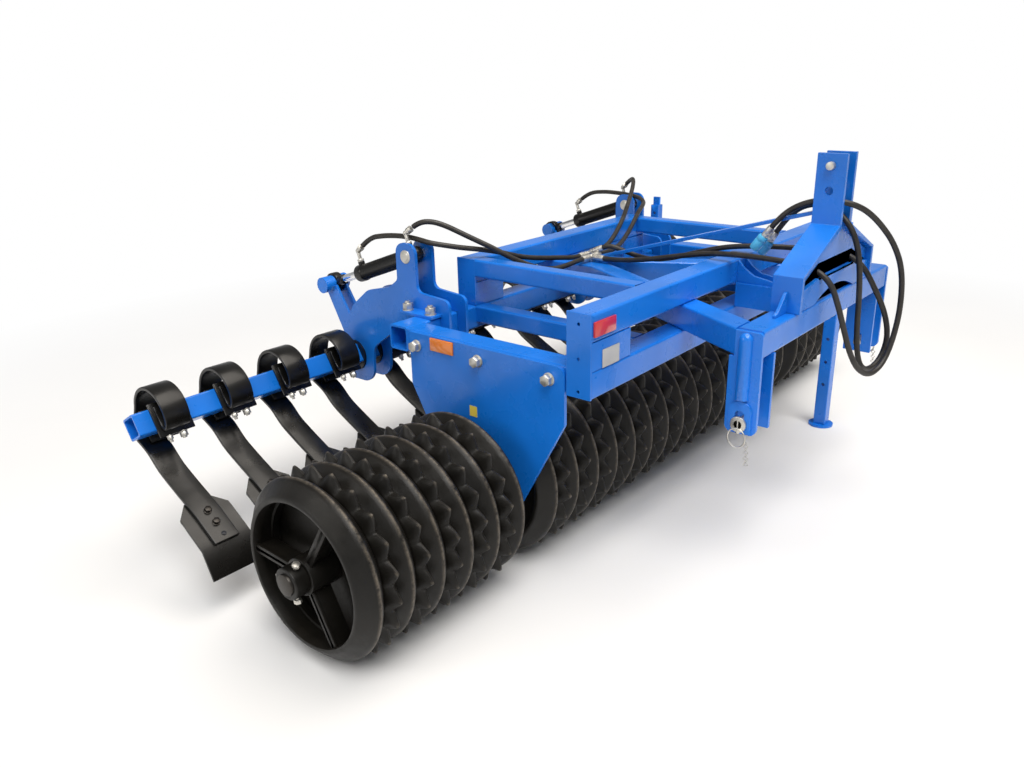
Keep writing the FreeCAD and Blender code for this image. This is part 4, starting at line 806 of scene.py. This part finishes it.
# ---------------------------------------------------------------------- roller
AXLE_Z = 0.268
RING_PITCH, OUTER_FIRST = 0.109, 0.976
MIDDLE_RINGS = [RING_PITCH * (k - 7.5) for k in range(16)]
OUTER_RINGS = [OUTER_FIRST + RING_PITCH * k for k in range(5)]
END_RING = OUTER_FIRST + RING_PITCH * 5
MIDDLE_STARS = [RING_PITCH * (k - 7) for k in range(15)]
OUTER_STARS = [OUTER_FIRST + RING_PITCH * (k + 0.5) for k in range(5)]
SHAFT_HALF, SHAFT_RADIUS = 1.6155, 0.030
HUB_HALF, HUB_RADIUS, BORE_RADIUS = 0.0465, 0.052, 0.0303
SPOKES, SPOKE_TURN = 3, -88
SPOKE_OUT, SPOKE_BACK, SPOKE_FLANGE = 0.036, 0.024, 0.009
SPOKE_FOOT, SPOKE_END = 0.047, 0.2030
# A star ring is turned plain; from TOOTH_FOOT on, its crown is drawn in and pushed out.
TOOTH_FOOT, TOOTH_SPAN, TOOTH_RISE, TOOTH_SINK = 0.221, 0.035, 0.0300, 0.0180
POINTED, ROUNDED = 0.72, 0.28   # shares of a straight flank and of a wave in a tooth
COLLAR_BORE, COLLAR_RADIUS, COLLAR_LONG = 0.0304, 0.044, 0.0415
COLLAR_BOLTS = ((-0.013, 0.303), (0.082, 0.260), (-0.014, 0.184))
RIM = [(0.0022, 0.2550), (0.0115, 0.2500), (0.031, 0.2268), (0.0450, 0.2132), (0.0446, 0.2012)]


def both_sides(half, corners):
    """A section mirrored about the ring's middle, its corners rounded."""
    last = 2 * len(half) - 1
    corners = {**corners, **{last - i: r for i, r in corners.items()}}
    return rounded(half + [(-x, r) for x, r in reversed(half)], corners, 2)


def mark_wear(obj, low, high):
    """Stores how far out each point stands, where the soil rubs the paint off."""
    worn = obj.data.attributes.new("worn", "FLOAT", "POINT")
    for vertex, mark in zip(obj.data.vertices, worn.data):
        out = (hypot(vertex.co.y, vertex.co.z - AXLE_Z) - low) / (high - low)
        mark.value = max(0.0, min(1.0, out))


def smooth_ring(kit, middle, steps):
    """A closed ring: ridge, flanks, web and hub."""
    half = RIM + [(0.030, 0.2002), (0.012, 0.2220), (0.008, 0.2100), (0.008, 0.056),
                  (HUB_HALF, HUB_RADIUS), (HUB_HALF, BORE_RADIUS)]
    section = both_sides(half, {0: 0.001, 1: 0.004, 2: 0.012, 3: 0.005, 4: 0.004, 5: 0.006})
    lathe(kit, section, (middle, 0, AXLE_Z), ALONG, steps)


def end_ring(kit, middle, steps):
    """The open ring at the roller's end: rim, hub and three spokes set along the axle."""
    half = RIM + [(0.018, 0.2005), (0.0155, 0.2060)]
    section = both_sides(half, {0: 0.001, 1: 0.004, 2: 0.012, 3: 0.005, 4: 0.004})
    lathe(kit, section, (middle, 0, AXLE_Z), ALONG, steps)
    hub = rounded([(-HUB_HALF, HUB_RADIUS), (HUB_HALF, HUB_RADIUS), (HUB_HALF, BORE_RADIUS),
                   (-HUB_HALF, BORE_RADIUS)], {0: 0.004, 1: 0.004})
    lathe(kit, hub, (middle, 0, AXLE_Z), ALONG, 56)
    side = 1 if middle > 0 else -1
    out, inner = middle + side * SPOKE_OUT, middle - side * SPOKE_BACK
    for k in range(SPOKES):
        turn = Matrix.Rotation(radians(360 / SPOKES * k + SPOKE_TURN), 4, "X")
        for half_width, back in ((0.006, inner), (0.013, out - side * SPOKE_FLANGE)):
            outline = [(out, -half_width, SPOKE_FOOT), (out, half_width, SPOKE_FOOT),
                       (out, half_width, SPOKE_END), (out, -half_width, SPOKE_END)]
            spoke = slab([], outline, (back - out, 0, 0), 0.0015)
            spoke.data.transform(Matrix.Translation((0, 0, AXLE_Z)) @ turn)
            kit.append(spoke)


def add_smooth_rings():
    """The closed rings in their three gangs, with the open ring at each end."""
    steps = settings().ring_steps
    for name, middles, end in (("left", [-x for x in OUTER_RINGS], -END_RING),
                               ("right", OUTER_RINGS, END_RING),
                               ("middle", MIDDLE_RINGS, None)):
        kit = []
        for middle in middles:
            smooth_ring(kit, middle, steps)
        if end:
            end_ring(kit, end, steps)
        obj = piece("rings_" + name, kit, "ring_iron", "roller", 28, ("smooth_rings_" + name,))
        mark_wear(obj, low=0.2538, high=0.2551)


def tooth_rise(turn):
    """1 at a tooth's tip and 0 in the valley between two, for a turn in radians."""
    share = (turn * settings().teeth / (2 * pi)) % 1.0
    away = 2 * min(share, 1 - share)
    return (1 - away) * POINTED + ROUNDED * (0.5 + 0.5 * cos(pi * away))


def add_star_rings():
    """Rings turned with a plain crown, whose edge is then pushed out into pointed teeth."""
    steps = settings().teeth * settings().tooth_steps
    half = [(0.0028, 0.2560), (0.0060, 0.2520), (0.0110, 0.2420), (0.0165, 0.2320),
            (0.0200, 0.2240), (0.0195, 0.2180), (0.0075, 0.2160), (0.0075, 0.0310)]
    section = half + [(-x, r) for x, r in reversed(half)]
    for name, middles in (("left", [-x for x in OUTER_STARS]), ("right", OUTER_STARS),
                          ("middle", MIDDLE_STARS)):
        kit = []
        for middle in middles:
            lathe(kit, section, (middle, 0, AXLE_Z), ALONG, steps)
        obj = piece("stars_" + name, kit, "ring_iron", "roller", 50, ("star_rings_" + name,))
        for vertex in obj.data.vertices:
            y, z = vertex.co.y, vertex.co.z - AXLE_Z
            radius = hypot(y, z)
            if radius > TOOTH_FOOT:
                share = min(1.0, (radius - TOOTH_FOOT) / TOOTH_SPAN)
                rise = tooth_rise(Vector((0, 1)).angle_signed(Vector((y, -z)), 0))
                scale = 1 + share * (TOOTH_RISE * rise - TOOTH_SINK) / radius
                vertex.co.y, vertex.co.z = y * scale, AXLE_Z + z * scale
        mark_wear(obj, low=0.2630, high=0.2682)


def add_shaft():
    """The roller's shaft, and a collar with three set bolts at each end."""
    kit = []
    bar(kit, (-SHAFT_HALF, 0, AXLE_Z), (SHAFT_HALF, 0, AXLE_Z), SHAFT_RADIUS, 48, edge=0.003)
    piece("shaft_turned", kit, "dark_steel", "roller", 40, ("roller_shaft",))
    kit, nuts = [], []
    for side in (-1, 1):
        start = side * (END_RING + 0.047)
        section = rounded([(0, COLLAR_BORE), (0, COLLAR_RADIUS), (COLLAR_LONG, COLLAR_RADIUS),
                           (COLLAR_LONG, COLLAR_BORE)], {1: 0.002, 2: 0.004})
        lathe(kit, section, (start, 0, AXLE_Z), ALONG * side, 56)
        for y, z in COLLAR_BOLTS:
            away = Vector((0, y, z - AXLE_Z)).normalized()
            foot = Vector((side * (END_RING + 0.066), 0, AXLE_Z)) + away * 0.043
            bar(nuts, foot, foot + away * 0.010, 0.006, 16)
            bolt(nuts, foot + away * 0.008, away, 0.019, 0.6, False)
    piece("collars_turned", kit, "ring_iron", "roller", 40, ("shaft_collars",))
    piece("collar_bolts", nuts, "zinc", "roller", 30)


# ----------------------------------------------------------------------- frame
TUBES = ["beam_upper_hitch", "beam_lower_hitch", "beam_upper_tine", "beam_lower_tine",
         "rails_upper", "rails_lower", "rails_outer", "drawbar_right", "drawbar_left",
         "hitch_crossbeam"]
PLATES = ["caps_hitch", "caps_tine", "spacers_hitch", "spacers_tine", "spacer_middle", "spine",
          "link_brackets", "mast_plate_right", "mast_plate_left", "mast_web", "mast_stay",
          "side_plate_right", "side_plate_left", "bearings", "tine_brackets",
          "stand_sleeve_hitch", "stand_sleeve_tine"]
SIDE_FACE = 0.880               # how far out the side plates' outer faces stand
PLATE_BOLTS = [(y, 0.663) for y in (0.245, -0.010, -0.274)]
BEARING_BOLTS = ((-0.055, 0.323), (0.055, 0.323), (-0.055, 0.213), (0.055, 0.213))
CLAMP_X, CLAMP_TOP = 0.740, 0.718
LINK_Y, LINK_Z = -0.680, 0.513
CHAIN_LINKS = 8


def add_frame():
    """The tubes and plates of the frame with their edges rounded."""
    look = settings()
    for node in TUBES:
        dress(node, "blue_gloss", look.tube_edge, 0.15)
    for node in PLATES:
        dress(node, "blue_gloss", look.plate_edge, 0.008)


def add_frame_bolts():
    """Bolts of the side plates, the bearings and the brackets' clamp tabs."""
    kit = []
    for sign in (-1, 1):
        out = (sign, 0, 0)
        for y, z in PLATE_BOLTS:
            bolt(kit, (sign * SIDE_FACE, y, z), out, 0.030)
        for y, z in BEARING_BOLTS:
            bolt(kit, (sign * SIDE_FACE, y, z), out, 0.024)
    piece("side_plate_bolts", kit, "zinc", "frame", 30)
    kit = []
    for sign in (-1, 1):
        for y in (0.320, 0.425):
            x = sign * CLAMP_X
            bolt(kit, (x, y, CLAMP_TOP), (0, 0, 1), 0.030, 0.7)
            bar(kit, (x, y, 0.729), (x, y, 0.750), 0.009, 16)
    piece("clamp_bolts", kit, "zinc", "frame", 30)


def add_reflectors():
    """The red reflectors on the hitch-side beam, the orange ones on the side plates."""
    for label, material, spots in (
            ("reflectors_red", "red_prism",
             [((-0.870, -0.412, 0.804), (-0.770, -0.4195, 0.846)),
              ((0.648, -0.412, 0.804), (0.748, -0.4195, 0.846))]),
            ("reflectors_orange", "orange_prism",
             [((side * SIDE_FACE, 0.088, 0.660), (side * 0.886, 0.183, 0.701))
              for side in (-1, 1)])):
        kit = []
        for low, high in spots:
            block(kit, low, high)
        piece(label + "_lens", kit, material, "frame", 40, (label,))


def sticker(kit, corners, away):
    """A film on a face: a thin prism over its corners."""
    slab(kit, corners, Vector(away).normalized() * FILM_THICK)


def add_labels():
    """The blank plate on the hitch-side beam and the blank yellow stickers."""
    kit = []
    block(kit, (-0.744, -0.4122, 0.708), (-0.826, -0.4145, 0.760))
    piece("nameplate_blank", kit, "label_silver", "frame", 40, ("nameplate",))
    kit = []
    top, face = 0.7081, -0.8801
    sticker(kit, [(-0.62, 0.322, top), (-0.575, 0.322, top), (-0.575, 0.358, top),
                  (-0.62, 0.358, top)], (0, 0, 1))
    sticker(kit, [(face, 0.0, 0.480), (face, 0.030, 0.480), (face, 0.030, 0.514),
                  (face, 0.0, 0.514)], (-1, 0, 0))
    piece("stickers_yellow", kit, "label_yellow", "frame", 40)


def add_hitch():
    """Link pins with heads, the top link's pin, and the linch pins on their chains."""
    kit = []
    for side in (-1, 1):
        head = (side * 0.538, LINK_Y, LINK_Z)
        bar(kit, head, (side * 0.425, LINK_Y, LINK_Z), 0.014, 32)
        bar(kit, head, (side * 0.529, LINK_Y, LINK_Z), 0.024, 32)
    bar(kit, (-0.060, -0.691, 1.181), (0.060, -0.691, 1.181), 0.0125, 32)
    piece("hitch_pins", kit, "zinc", "frame", 40, ("link_pins", "top_link_pin"))
    kit = []
    for side in (-1, 1):
        loop(kit, (side * 0.540, LINK_Y, 0.474), (side, 0.1, 0.05), 0.028, 0.0022)
        bar(kit, (side * 0.5335, LINK_Y, 0.535), (side * 0.5335, LINK_Y, 0.486), 0.005, 16)
        start = Vector((side * 0.536, -0.708, 0.462))
        for k in range(CHAIN_LINKS):
            direction = Vector((1, 0.2, 0)) if k % 2 else Vector((0, 1, 0))
            loop(kit, start - Vector((0, 0.0006, 0.0092)) * k, direction, 0.0062, 0.0013, 0.62)
    piece("linch_pins", kit, "zinc", "frame", 40)


# ---------------------------------------------------------------- tine carrier
PIVOT = (0.745, 0.492)
INNER_TINES = [0.178 * (k - 3) for k in range(7)]
LEFT_TINES = [-(0.815 + 0.222 * k) for k in range(4)]
RIGHT_TINES = [0.917 + 0.188 * k for k in range(4)]
TINES = LEFT_TINES + INNER_TINES + RIGHT_TINES
SHAFT_TURN = radians(30)        # the square tine shaft stands turned about its length
TINE_WIDE, TINE_THICK = 0.080, 0.011
TINE_SHIFT = 0.032              # how far a tine steps sideways from its clamp to its tip
COIL_Y, COIL_Z, COIL_RADIUS = 0.7457, 0.508, 0.0885
CLAMP_ALONG, CLAMP_STUDS = -0.0394, 0.022


def on_shaft(along, up, x=0.0):
    """A point beside the tine shaft, along and up in the shaft's own directions."""
    c, s = cos(SHAFT_TURN), sin(SHAFT_TURN)
    return Vector((x, PIVOT[0] + along * c + up * s, PIVOT[1] - along * s + up * c))


def outward(middle):
    """The way a tine steps sideways: 1 on the right; -1 on the left and in the middle."""
    return 1 if middle > 0.001 else -1


def tine_path():
    """The middle line of the flat bar as (y, z, sideways share), from clamp to tip."""
    path = [(*on_shaft(a, u).yz, 0.0) for a, u in
            ((-0.0488, 0.034), (-0.0488, 0.010), (-0.0492, -0.012), (-0.0515, -0.028),
             (-0.0575, -0.0385), (-0.0665, -0.0420), (-0.0750, -0.0395))]
    for degrees in range(178, -58, -6):
        share = min(1.0, max(0.0, (10 - degrees) / 66))
        share = share * share * (3 - 2 * share)
        path.append((COIL_Y + COIL_RADIUS * cos(radians(degrees)),
                     COIL_Z + COIL_RADIUS * sin(radians(degrees)), share))
    bends = [path[-1][:2], (0.755, 0.4155), (0.7264, 0.3967), (0.6816, 0.3566), (0.609, 0.315),
             (0.561, 0.290), (0.5027, 0.2572), (0.4207, 0.2012)]
    for i in range(len(bends) - 1):
        p0, p1 = Vector(bends[max(i - 1, 0)]), Vector(bends[i])
        p2, p3 = Vector(bends[i + 1]), Vector(bends[min(i + 2, len(bends) - 1)])
        for k in range(1, 5):
            t = k / 4
            p = 0.5 * (2 * p1 + (p2 - p0) * t + (2 * p0 - 5 * p1 + 4 * p2 - p3) * t * t
                       + (3 * p1 - p0 - 3 * p2 + p3) * t ** 3)
            path.append((p.x, p.y, 1.0))
    return path


def make_tine(side):
    """One tine about x = 0: a strip extruded along the bends, then given its thickness."""
    path = tine_path()
    bpy.ops.mesh.primitive_circle_add(vertices=3, fill_type="NOTHING", location=(0, 0, 0))
    obj = bpy.context.object
    edit()
    bpy.ops.mesh.select_mode(type="VERT")
    bpy.ops.mesh.select_all(action="SELECT")
    bpy.ops.mesh.merge(type="CENTER")
    bpy.ops.transform.translate(value=Vector((-TINE_WIDE / 2, path[0][0], path[0][1])))
    for before, after in zip(path, path[1:]):
        step = (side * TINE_SHIFT * (after[2] - before[2]), after[0] - before[0],
                after[1] - before[1])
        bpy.ops.mesh.extrude_vertices_move(TRANSFORM_OT_translate={"value": step})
    bpy.ops.mesh.select_all(action="SELECT")
    bpy.ops.mesh.extrude_edges_move(TRANSFORM_OT_translate={"value": (TINE_WIDE, 0, 0)})
    edit(False)
    finish_with(obj, "SOLIDIFY", thickness=TINE_THICK, offset=0.0, use_even_offset=True)
    finish_with(obj, "BEVEL", width=settings().tine_edge, segments=3, limit_method="ANGLE",
                angle_limit=radians(50))
    return obj


def add_tines():
    """All fifteen tines, each a copy of the left or the right form."""
    kit = []
    for middle in TINES:
        side = outward(middle)
        stamp(kit, pattern(("tine", side), lambda s=side: make_tine(s)),
              Matrix.Translation((middle, 0, 0)))
    piece("tines_rolled", kit, "black_gloss", "tine_carrier", 40, ("tines",))


def add_tine_clamps():
    """Clamp plates on the shaft's two sloping faces, with their studs and nuts."""
    plates, nuts = [], []
    for middle in TINES:
        side = outward(middle)
        for face, back, low, high, inner, outer in (
                (-0.0355, -0.0433, -0.060, 0.048, 0.050, -0.064),
                (0.0355, 0.0433, -0.056, 0.048, 0.046, -0.046)):
            x0, x1 = middle + side * inner, middle + side * outer
            outline = [on_shaft(face, low, x0), on_shaft(face, high, x0),
                       on_shaft(face, high, x1), on_shaft(face, low, x1)]
            slab(plates, outline, on_shaft(back, 0) - on_shaft(face, 0), 0.0018)
        down = on_shaft(0, -1) - on_shaft(0, 0)
        for x, size in ((middle - side * CLAMP_STUDS, 0.021),
                        (middle + side * CLAMP_STUDS, 0.016)):
            start, end = on_shaft(CLAMP_ALONG, -0.058, x), on_shaft(CLAMP_ALONG, -0.082, x)
            bar(nuts, start, end, size * 0.33, 16)
            bolt(nuts, on_shaft(CLAMP_ALONG, -0.0605, x), down, size, 0.7)
            bolt(nuts, on_shaft(0.0434, -0.044, x), on_shaft(1, 0) - on_shaft(0, 0), 0.017, 0.6)
    piece("tine_clamps", plates, "black_gloss", "tine_carrier", 30)
    piece("tine_clamp_nuts", nuts, "zinc", "tine_carrier", 30)


def add_blades():
    """The blades at the tines' tips, with their bolts, and near-black discs of painted shade
    where the spare holes are.
    """
    dress("tine_blades", "black_gloss", 0.0016, 0.012)
    bolts, shade_discs = [], []
    along = Vector((0, 0.0570, 0.0330)).normalized()
    up = Vector((0, -along.z, along.y))
    for middle in TINES:
        x = middle + outward(middle) * TINE_SHIFT
        for y, z in ((0.508, 0.2672), (0.470, 0.2420)):
            bolt(bolts, (x, y, z), up, 0.019, 0.5)
        # painted shade: a near-black disc on each spare hole stands for the shade seen in it
        place = Vector((x, 0.4350, 0.2190))
        bar(shade_discs, place - up * 0.002, place + up * 0.0012, 0.0075, 20)
    piece("blade_bolts", bolts, "dark_steel", "tine_carrier", 30)
    piece("blade_holes", shade_discs, "hole_painted_shade", "tine_carrier", 30)


def add_carrier():
    """The tine shaft, its bushes and its levers."""
    dress("tine_shaft", "blue_gloss", 0.006, 0.3)
    dress("tine_bushes", "black_gloss")
    dress("levers", "blue_gloss", settings().plate_edge, 0.02)


# ------------------------------------------------------------------- cylinders
CYLINDER_X = 0.669
EYE_BASE, EYE_TIP = Vector((0, 0.450, 0.890)), Vector((0, 0.8855, 0.7354))
LINE = (EYE_TIP - EYE_BASE).normalized()
ABOVE = Vector((0, -LINE.z, LINE.y))
BARREL_RADIUS, GLAND_RADIUS, ROD_RADIUS, PIN_RADIUS = 0.028, 0.031, 0.015, 0.015
PORTS = ((0.016, 0.4), (0.283, 0.0))    # how far along the barrel; how far its elbow leans in
KNEE_RISE, KNEE_RADIUS = 0.052, 0.0065
FERRULE_RADIUS, RIB_RADIUS, RIB_LONG = 0.0112, 0.0118, 0.002


def ferrule(kit, place, along, start, end, ribs):
    """A crimped sleeve from start to end along a direction, with ribs round it."""
    bar(kit, place + along * start, place + along * end, FERRULE_RADIUS, 28)
    for rib in ribs:
        bar(kit, place + along * rib, place + along * (rib + RIB_LONG), RIB_RADIUS, 28)


def ball(kit, place, radius):
    """A small turned knuckle."""
    section = [(radius * -cos(pi * k / 8), radius * max(0.05, sin(pi * k / 8)))
               for k in range(9)]
    lathe(kit, section, place, (0, 0, 1), 20, False)


def add_cylinder(sign, label):
    """Barrel, ports with zinc elbows and ferrules, rod and eye of one side."""
    base = EYE_BASE + ALONG * sign * CYLINDER_X
    tip = EYE_TIP + ALONG * sign * CYLINDER_X
    kit, metalwork = [], []
    bar(kit, base - ALONG * 0.015, base + ALONG * 0.015, BARREL_RADIUS, 40)
    section = rounded([(0.020, BARREL_RADIUS), (0.270, BARREL_RADIUS), (0.276, GLAND_RADIUS),
                       (0.306, GLAND_RADIUS), (0.311, 0.024)],
                      {2: 0.004, 3: 0.003}, 3, False)
    lathe(kit, [(0.0195, 0.020)] + section + [(0.3121, 0.016)], base, LINE, 48, False)
    for along, inward in PORTS:
        foot = base + LINE * along + ABOVE * 0.026
        bar(kit, foot, foot + ABOVE * 0.014, 0.012, 24)
        bolt(metalwork, foot + ABOVE * 0.013, ABOVE, 0.021, 0.45, False)
        knee = foot + ABOVE * KNEE_RISE
        lean = Vector((-sign * inward, -1, 0.78)).normalized()
        bar(metalwork, foot + ABOVE * 0.010, knee, KNEE_RADIUS, 20)
        bar(metalwork, knee - lean * 0.004, knee + lean * 0.016, KNEE_RADIUS, 20)
        ball(metalwork, knee, 0.0085)
        bolt(metalwork, knee + lean * 0.008, lean, 0.020, 0.45, False)
        ferrule(metalwork, knee, lean, 0.016, 0.0285, (0.019, 0.024))
    body = "cylinder_barrel_" + label
    piece(body + "_made", kit, "black_gloss", body, 35, (body,))
    piece("cylinder_ports_" + label, metalwork, "zinc", body, 35)
    kit = []
    bar(kit, base + LINE * 0.160, tip - LINE * 0.030, ROD_RADIUS, 40)
    body = "cylinder_rod_" + label
    piece(body + "_chromed", kit, "chrome", body, 35, (body,))
    kit = []
    section = rounded([(-0.015, 0.0245), (0.015, 0.0245), (0.015, 0.037), (-0.015, 0.037)],
                      {2: 0.003, 3: 0.003})
    lathe(kit, section, tip, ALONG, 48)
    bar(kit, tip - LINE * 0.060, tip - LINE * 0.031, 0.019, 32)
    piece("rod_eye_" + label, kit, "black_gloss", body, 35)


def add_cylinders():
    """Both cylinders, and the pins and spacers at their base eyes."""
    pins = []
    for sign, label in ((-1, "left"), (1, "right")):
        add_cylinder(sign, label)
        base = EYE_BASE + ALONG * sign * CYLINDER_X
        for x in (-0.030, 0.030):
            bar(pins, base + ALONG * x * 1.30, base + ALONG * x * 1.62, 0.023, 32)
        bar(pins, base - ALONG * 0.050, base + ALONG * 0.050, PIN_RADIUS, 32)
    piece("cylinder_pins_turned", pins, "zinc", "frame", 35, ("cylinder_pins",))


# ---------------------------------------------------------------------- stands
def add_stands():
    """The legs of the two parking stands."""
    for node in ("stand_leg_hitch", "stand_leg_tine"):
        dress(node, "blue_gloss", 0.004, 0.1)


# -------------------------------------------------------------------- plumbing
TEES = (((-0.003, 0.210, 0.807), (0.011, -0.026, 0.014)),
        ((-0.037, 0.172, 0.806), (0.0, -0.028, 0.0)))       # centre, third arm
ARM = 0.026
ARM_BODY, ARM_NUT, ARM_SLEEVE = 0.55, 0.40, (0.75, 1.02)    # shares of an arm's length


def add_fittings():
    """The two tees and the crimped ferrules at the hoses' ends on them."""
    kit = []
    for place, third in TEES:
        centre = Vector(place)
        bar(kit, (centre.x, centre.y, 0.788), centre, 0.008, 20)
        for arm in (Vector((ARM, 0, 0)), Vector((-ARM, 0, 0)), Vector(third)):
            bar(kit, centre, centre + arm * ARM_BODY, 0.0085, 20)
            bolt(kit, centre + arm * ARM_NUT, arm, 0.021, 0.42, False)
            bar(kit, centre + arm * ARM_SLEEVE[0], centre + arm * ARM_SLEEVE[1], 0.0108, 24)
        ball(kit, centre, 0.0105)
    piece("tees_zinc", kit, "zinc", "frame", 35, ("hose_fittings",))
    crimps = []
    for name in HOSE_ROUTES:
        line = hose_line(name)
        if name.startswith("hose_near"):    # it leaves a cylinder and ends at the tee
            line.reverse()
        along = (line[2] - line[0]).normalized()
        ferrule(crimps, line[0], along, 0.001, 0.030, (0.007, 0.014, 0.021))
    piece("hose_crimps", crimps, "zinc", "frame", 35)


def add_couplers():
    """The plugs and their dust caps at the ends of the two main hoses."""
    made = {}
    section = [(0.026, 0.0150), (0.030, 0.0170), (0.040, 0.0170), (0.043, 0.0158),
               (0.046, 0.0170), (0.070, 0.0168), (0.0775, 0.0150), (0.078, 0.010)]
    for name in ("hose_main_near", "hose_main_far"):
        caps, plugs = [], []
        tip = Vector(HOSE_ROUTES[name][-1])
        along = (tip - Vector(HOSE_ROUTES[name][-2])).normalized()
        ferrule(plugs, tip, along, -0.012, 0.014, ())
        bolt(plugs, tip + along * 0.013, along, 0.021, 0.6, False)
        bar(plugs, tip + along * 0.024, tip + along * 0.034, 0.010, 24)
        lathe(caps, section, tip, along, 32, False)
        label = name.replace("hose_main", "coupler")
        made[name] = [piece(label + "_cap", caps, "cap_blue", "frame", 35,
                            ("couplers",) if "near" in name else ()),
                      piece(label + "_plug", plugs, "zinc", "frame", 35)]
    return made


def declare_hoses():
    """Adds the plugs and dust caps at the ends of the two main hoses."""
    made = add_couplers()


# ------------------------------------------------------------------- operators
class STAGE_OT_set(bpy.types.Operator):
    """Makes the materials, the camera, the floor and the light"""
    bl_idname = "roller.stage"
    bl_label = "Stage and camera"

    def execute(self, context):
        make_materials()
        add_camera()
        add_studio()
        return {"FINISHED"}


class ROLLER_OT_hoses(bpy.types.Operator):
    """Lays the six hoses with their couplers"""
    bl_idname = "roller.hoses"
    bl_label = "Hoses"

    def execute(self, context):
        for name in HOSE_ROUTES:
            lay_hose(name)
        declare_hoses()
        return {"FINISHED"}


class ROLLER_OT_rings(bpy.types.Operator):
    """Turns the closed and open rings"""
    bl_idname = "roller.rings"
    bl_label = "Smooth rings"

    def execute(self, context):
        add_smooth_rings()
        return {"FINISHED"}


class ROLLER_OT_stars(bpy.types.Operator):
    """Turns the toothed rings between them"""
    bl_idname = "roller.stars"
    bl_label = "Star rings"

    def execute(self, context):
        add_star_rings()
        return {"FINISHED"}


class ROLLER_OT_shaft(bpy.types.Operator):
    """Makes the shaft and its collars"""
    bl_idname = "roller.shaft"
    bl_label = "Shaft and collars"

    def execute(self, context):
        add_shaft()
        return {"FINISHED"}


class ROLLER_OT_frame(bpy.types.Operator):
    """Rounds the tubes and plates of the frame"""
    bl_idname = "roller.frame"
    bl_label = "Frame tubes and plates"

    def execute(self, context):
        add_frame()
        return {"FINISHED"}


class ROLLER_OT_bolts(bpy.types.Operator):
    """Adds the bolts of plates, bearings and clamps"""
    bl_idname = "roller.bolts"
    bl_label = "Frame bolts"

    def execute(self, context):
        add_frame_bolts()
        return {"FINISHED"}


class ROLLER_OT_reflectors(bpy.types.Operator):
    """Adds the red and orange reflectors"""
    bl_idname = "roller.reflectors"
    bl_label = "Reflectors"

    def execute(self, context):
        add_reflectors()
        return {"FINISHED"}


class ROLLER_OT_labels(bpy.types.Operator):
    """Adds the blank plate and stickers"""
    bl_idname = "roller.labels"
    bl_label = "Blank plates and stickers"

    def execute(self, context):
        add_labels()
        return {"FINISHED"}


class ROLLER_OT_hitch(bpy.types.Operator):
    """Adds the hitch pins, linch pins and chains"""
    bl_idname = "roller.hitch"
    bl_label = "Hitch pins"

    def execute(self, context):
        add_hitch()
        return {"FINISHED"}


class ROLLER_OT_tines(bpy.types.Operator):
    """Bends the flat bars of the tines"""
    bl_idname = "roller.tines"
    bl_label = "Spring tines"

    def execute(self, context):
        add_tines()
        return {"FINISHED"}


class ROLLER_OT_clamps(bpy.types.Operator):
    """Adds the clamp plates and nuts of the tines"""
    bl_idname = "roller.clamps"
    bl_label = "Tine clamps"

    def execute(self, context):
        add_tine_clamps()
        return {"FINISHED"}


class ROLLER_OT_blades(bpy.types.Operator):
    """Adds the blades with bolts, and discs of painted shade on the spare holes"""
    bl_idname = "roller.blades"
    bl_label = "Tine blades"

    def execute(self, context):
        add_blades()
        return {"FINISHED"}


class ROLLER_OT_carrier(bpy.types.Operator):
    """Rounds the tine shaft and its levers"""
    bl_idname = "roller.carrier"
    bl_label = "Tine shaft and levers"

    def execute(self, context):
        add_carrier()
        return {"FINISHED"}


class ROLLER_OT_cylinders(bpy.types.Operator):
    """Makes the two cylinders and their ports"""
    bl_idname = "roller.cylinders"
    bl_label = "Cylinders"

    def execute(self, context):
        add_cylinders()
        return {"FINISHED"}


class ROLLER_OT_stands(bpy.types.Operator):
    """Rounds the legs of the parking stands"""
    bl_idname = "roller.stands"
    bl_label = "Parking stands"

    def execute(self, context):
        add_stands()
        return {"FINISHED"}


class ROLLER_OT_fittings(bpy.types.Operator):
    """Adds the tees and the crimped ferrules"""
    bl_idname = "roller.fittings"
    bl_label = "Tees and crimps"

    def execute(self, context):
        add_fittings()
        return {"FINISHED"}


STEPS = (STAGE_OT_set, ROLLER_OT_hoses, ROLLER_OT_rings, ROLLER_OT_stars, ROLLER_OT_shaft,
         ROLLER_OT_frame, ROLLER_OT_bolts, ROLLER_OT_reflectors, ROLLER_OT_labels,
         ROLLER_OT_hitch, ROLLER_OT_tines, ROLLER_OT_clamps, ROLLER_OT_blades, ROLLER_OT_carrier,
         ROLLER_OT_cylinders, ROLLER_OT_stands, ROLLER_OT_fittings)


class ROLLER_PT_panel(bpy.types.Panel):
    """Lists the roller's settings and its steps"""
    bl_idname = "ROLLER_PT_panel"
    bl_label = "Land roller"
    bl_category = "Roller"
    bl_space_type = "VIEW_3D"
    bl_region_type = "UI"

    def draw(self, context):
        for name in RollerSettings.__annotations__:
            self.layout.prop(context.scene.roller, name)
        for step in STEPS:
            self.layout.operator(step.bl_idname)


CLASSES = (RollerSettings, *STEPS, ROLLER_PT_panel)


def register():
    """Adds the classes, and the settings to every scene."""
    for cls in CLASSES:
        bpy.utils.register_class(cls)
    bpy.types.Scene.roller = bpy.props.PointerProperty(type=RollerSettings)


def unregister():
    """Takes them away again."""
    del bpy.types.Scene.roller
    for cls in reversed(CLASSES):
        bpy.utils.unregister_class(cls)


def main():
    """Runs every step in order."""
    register()
    for step in STEPS:
        group, name = step.bl_idname.split(".")
        getattr(getattr(bpy.ops, group), name)()


if __name__ == "__main__":
    main()
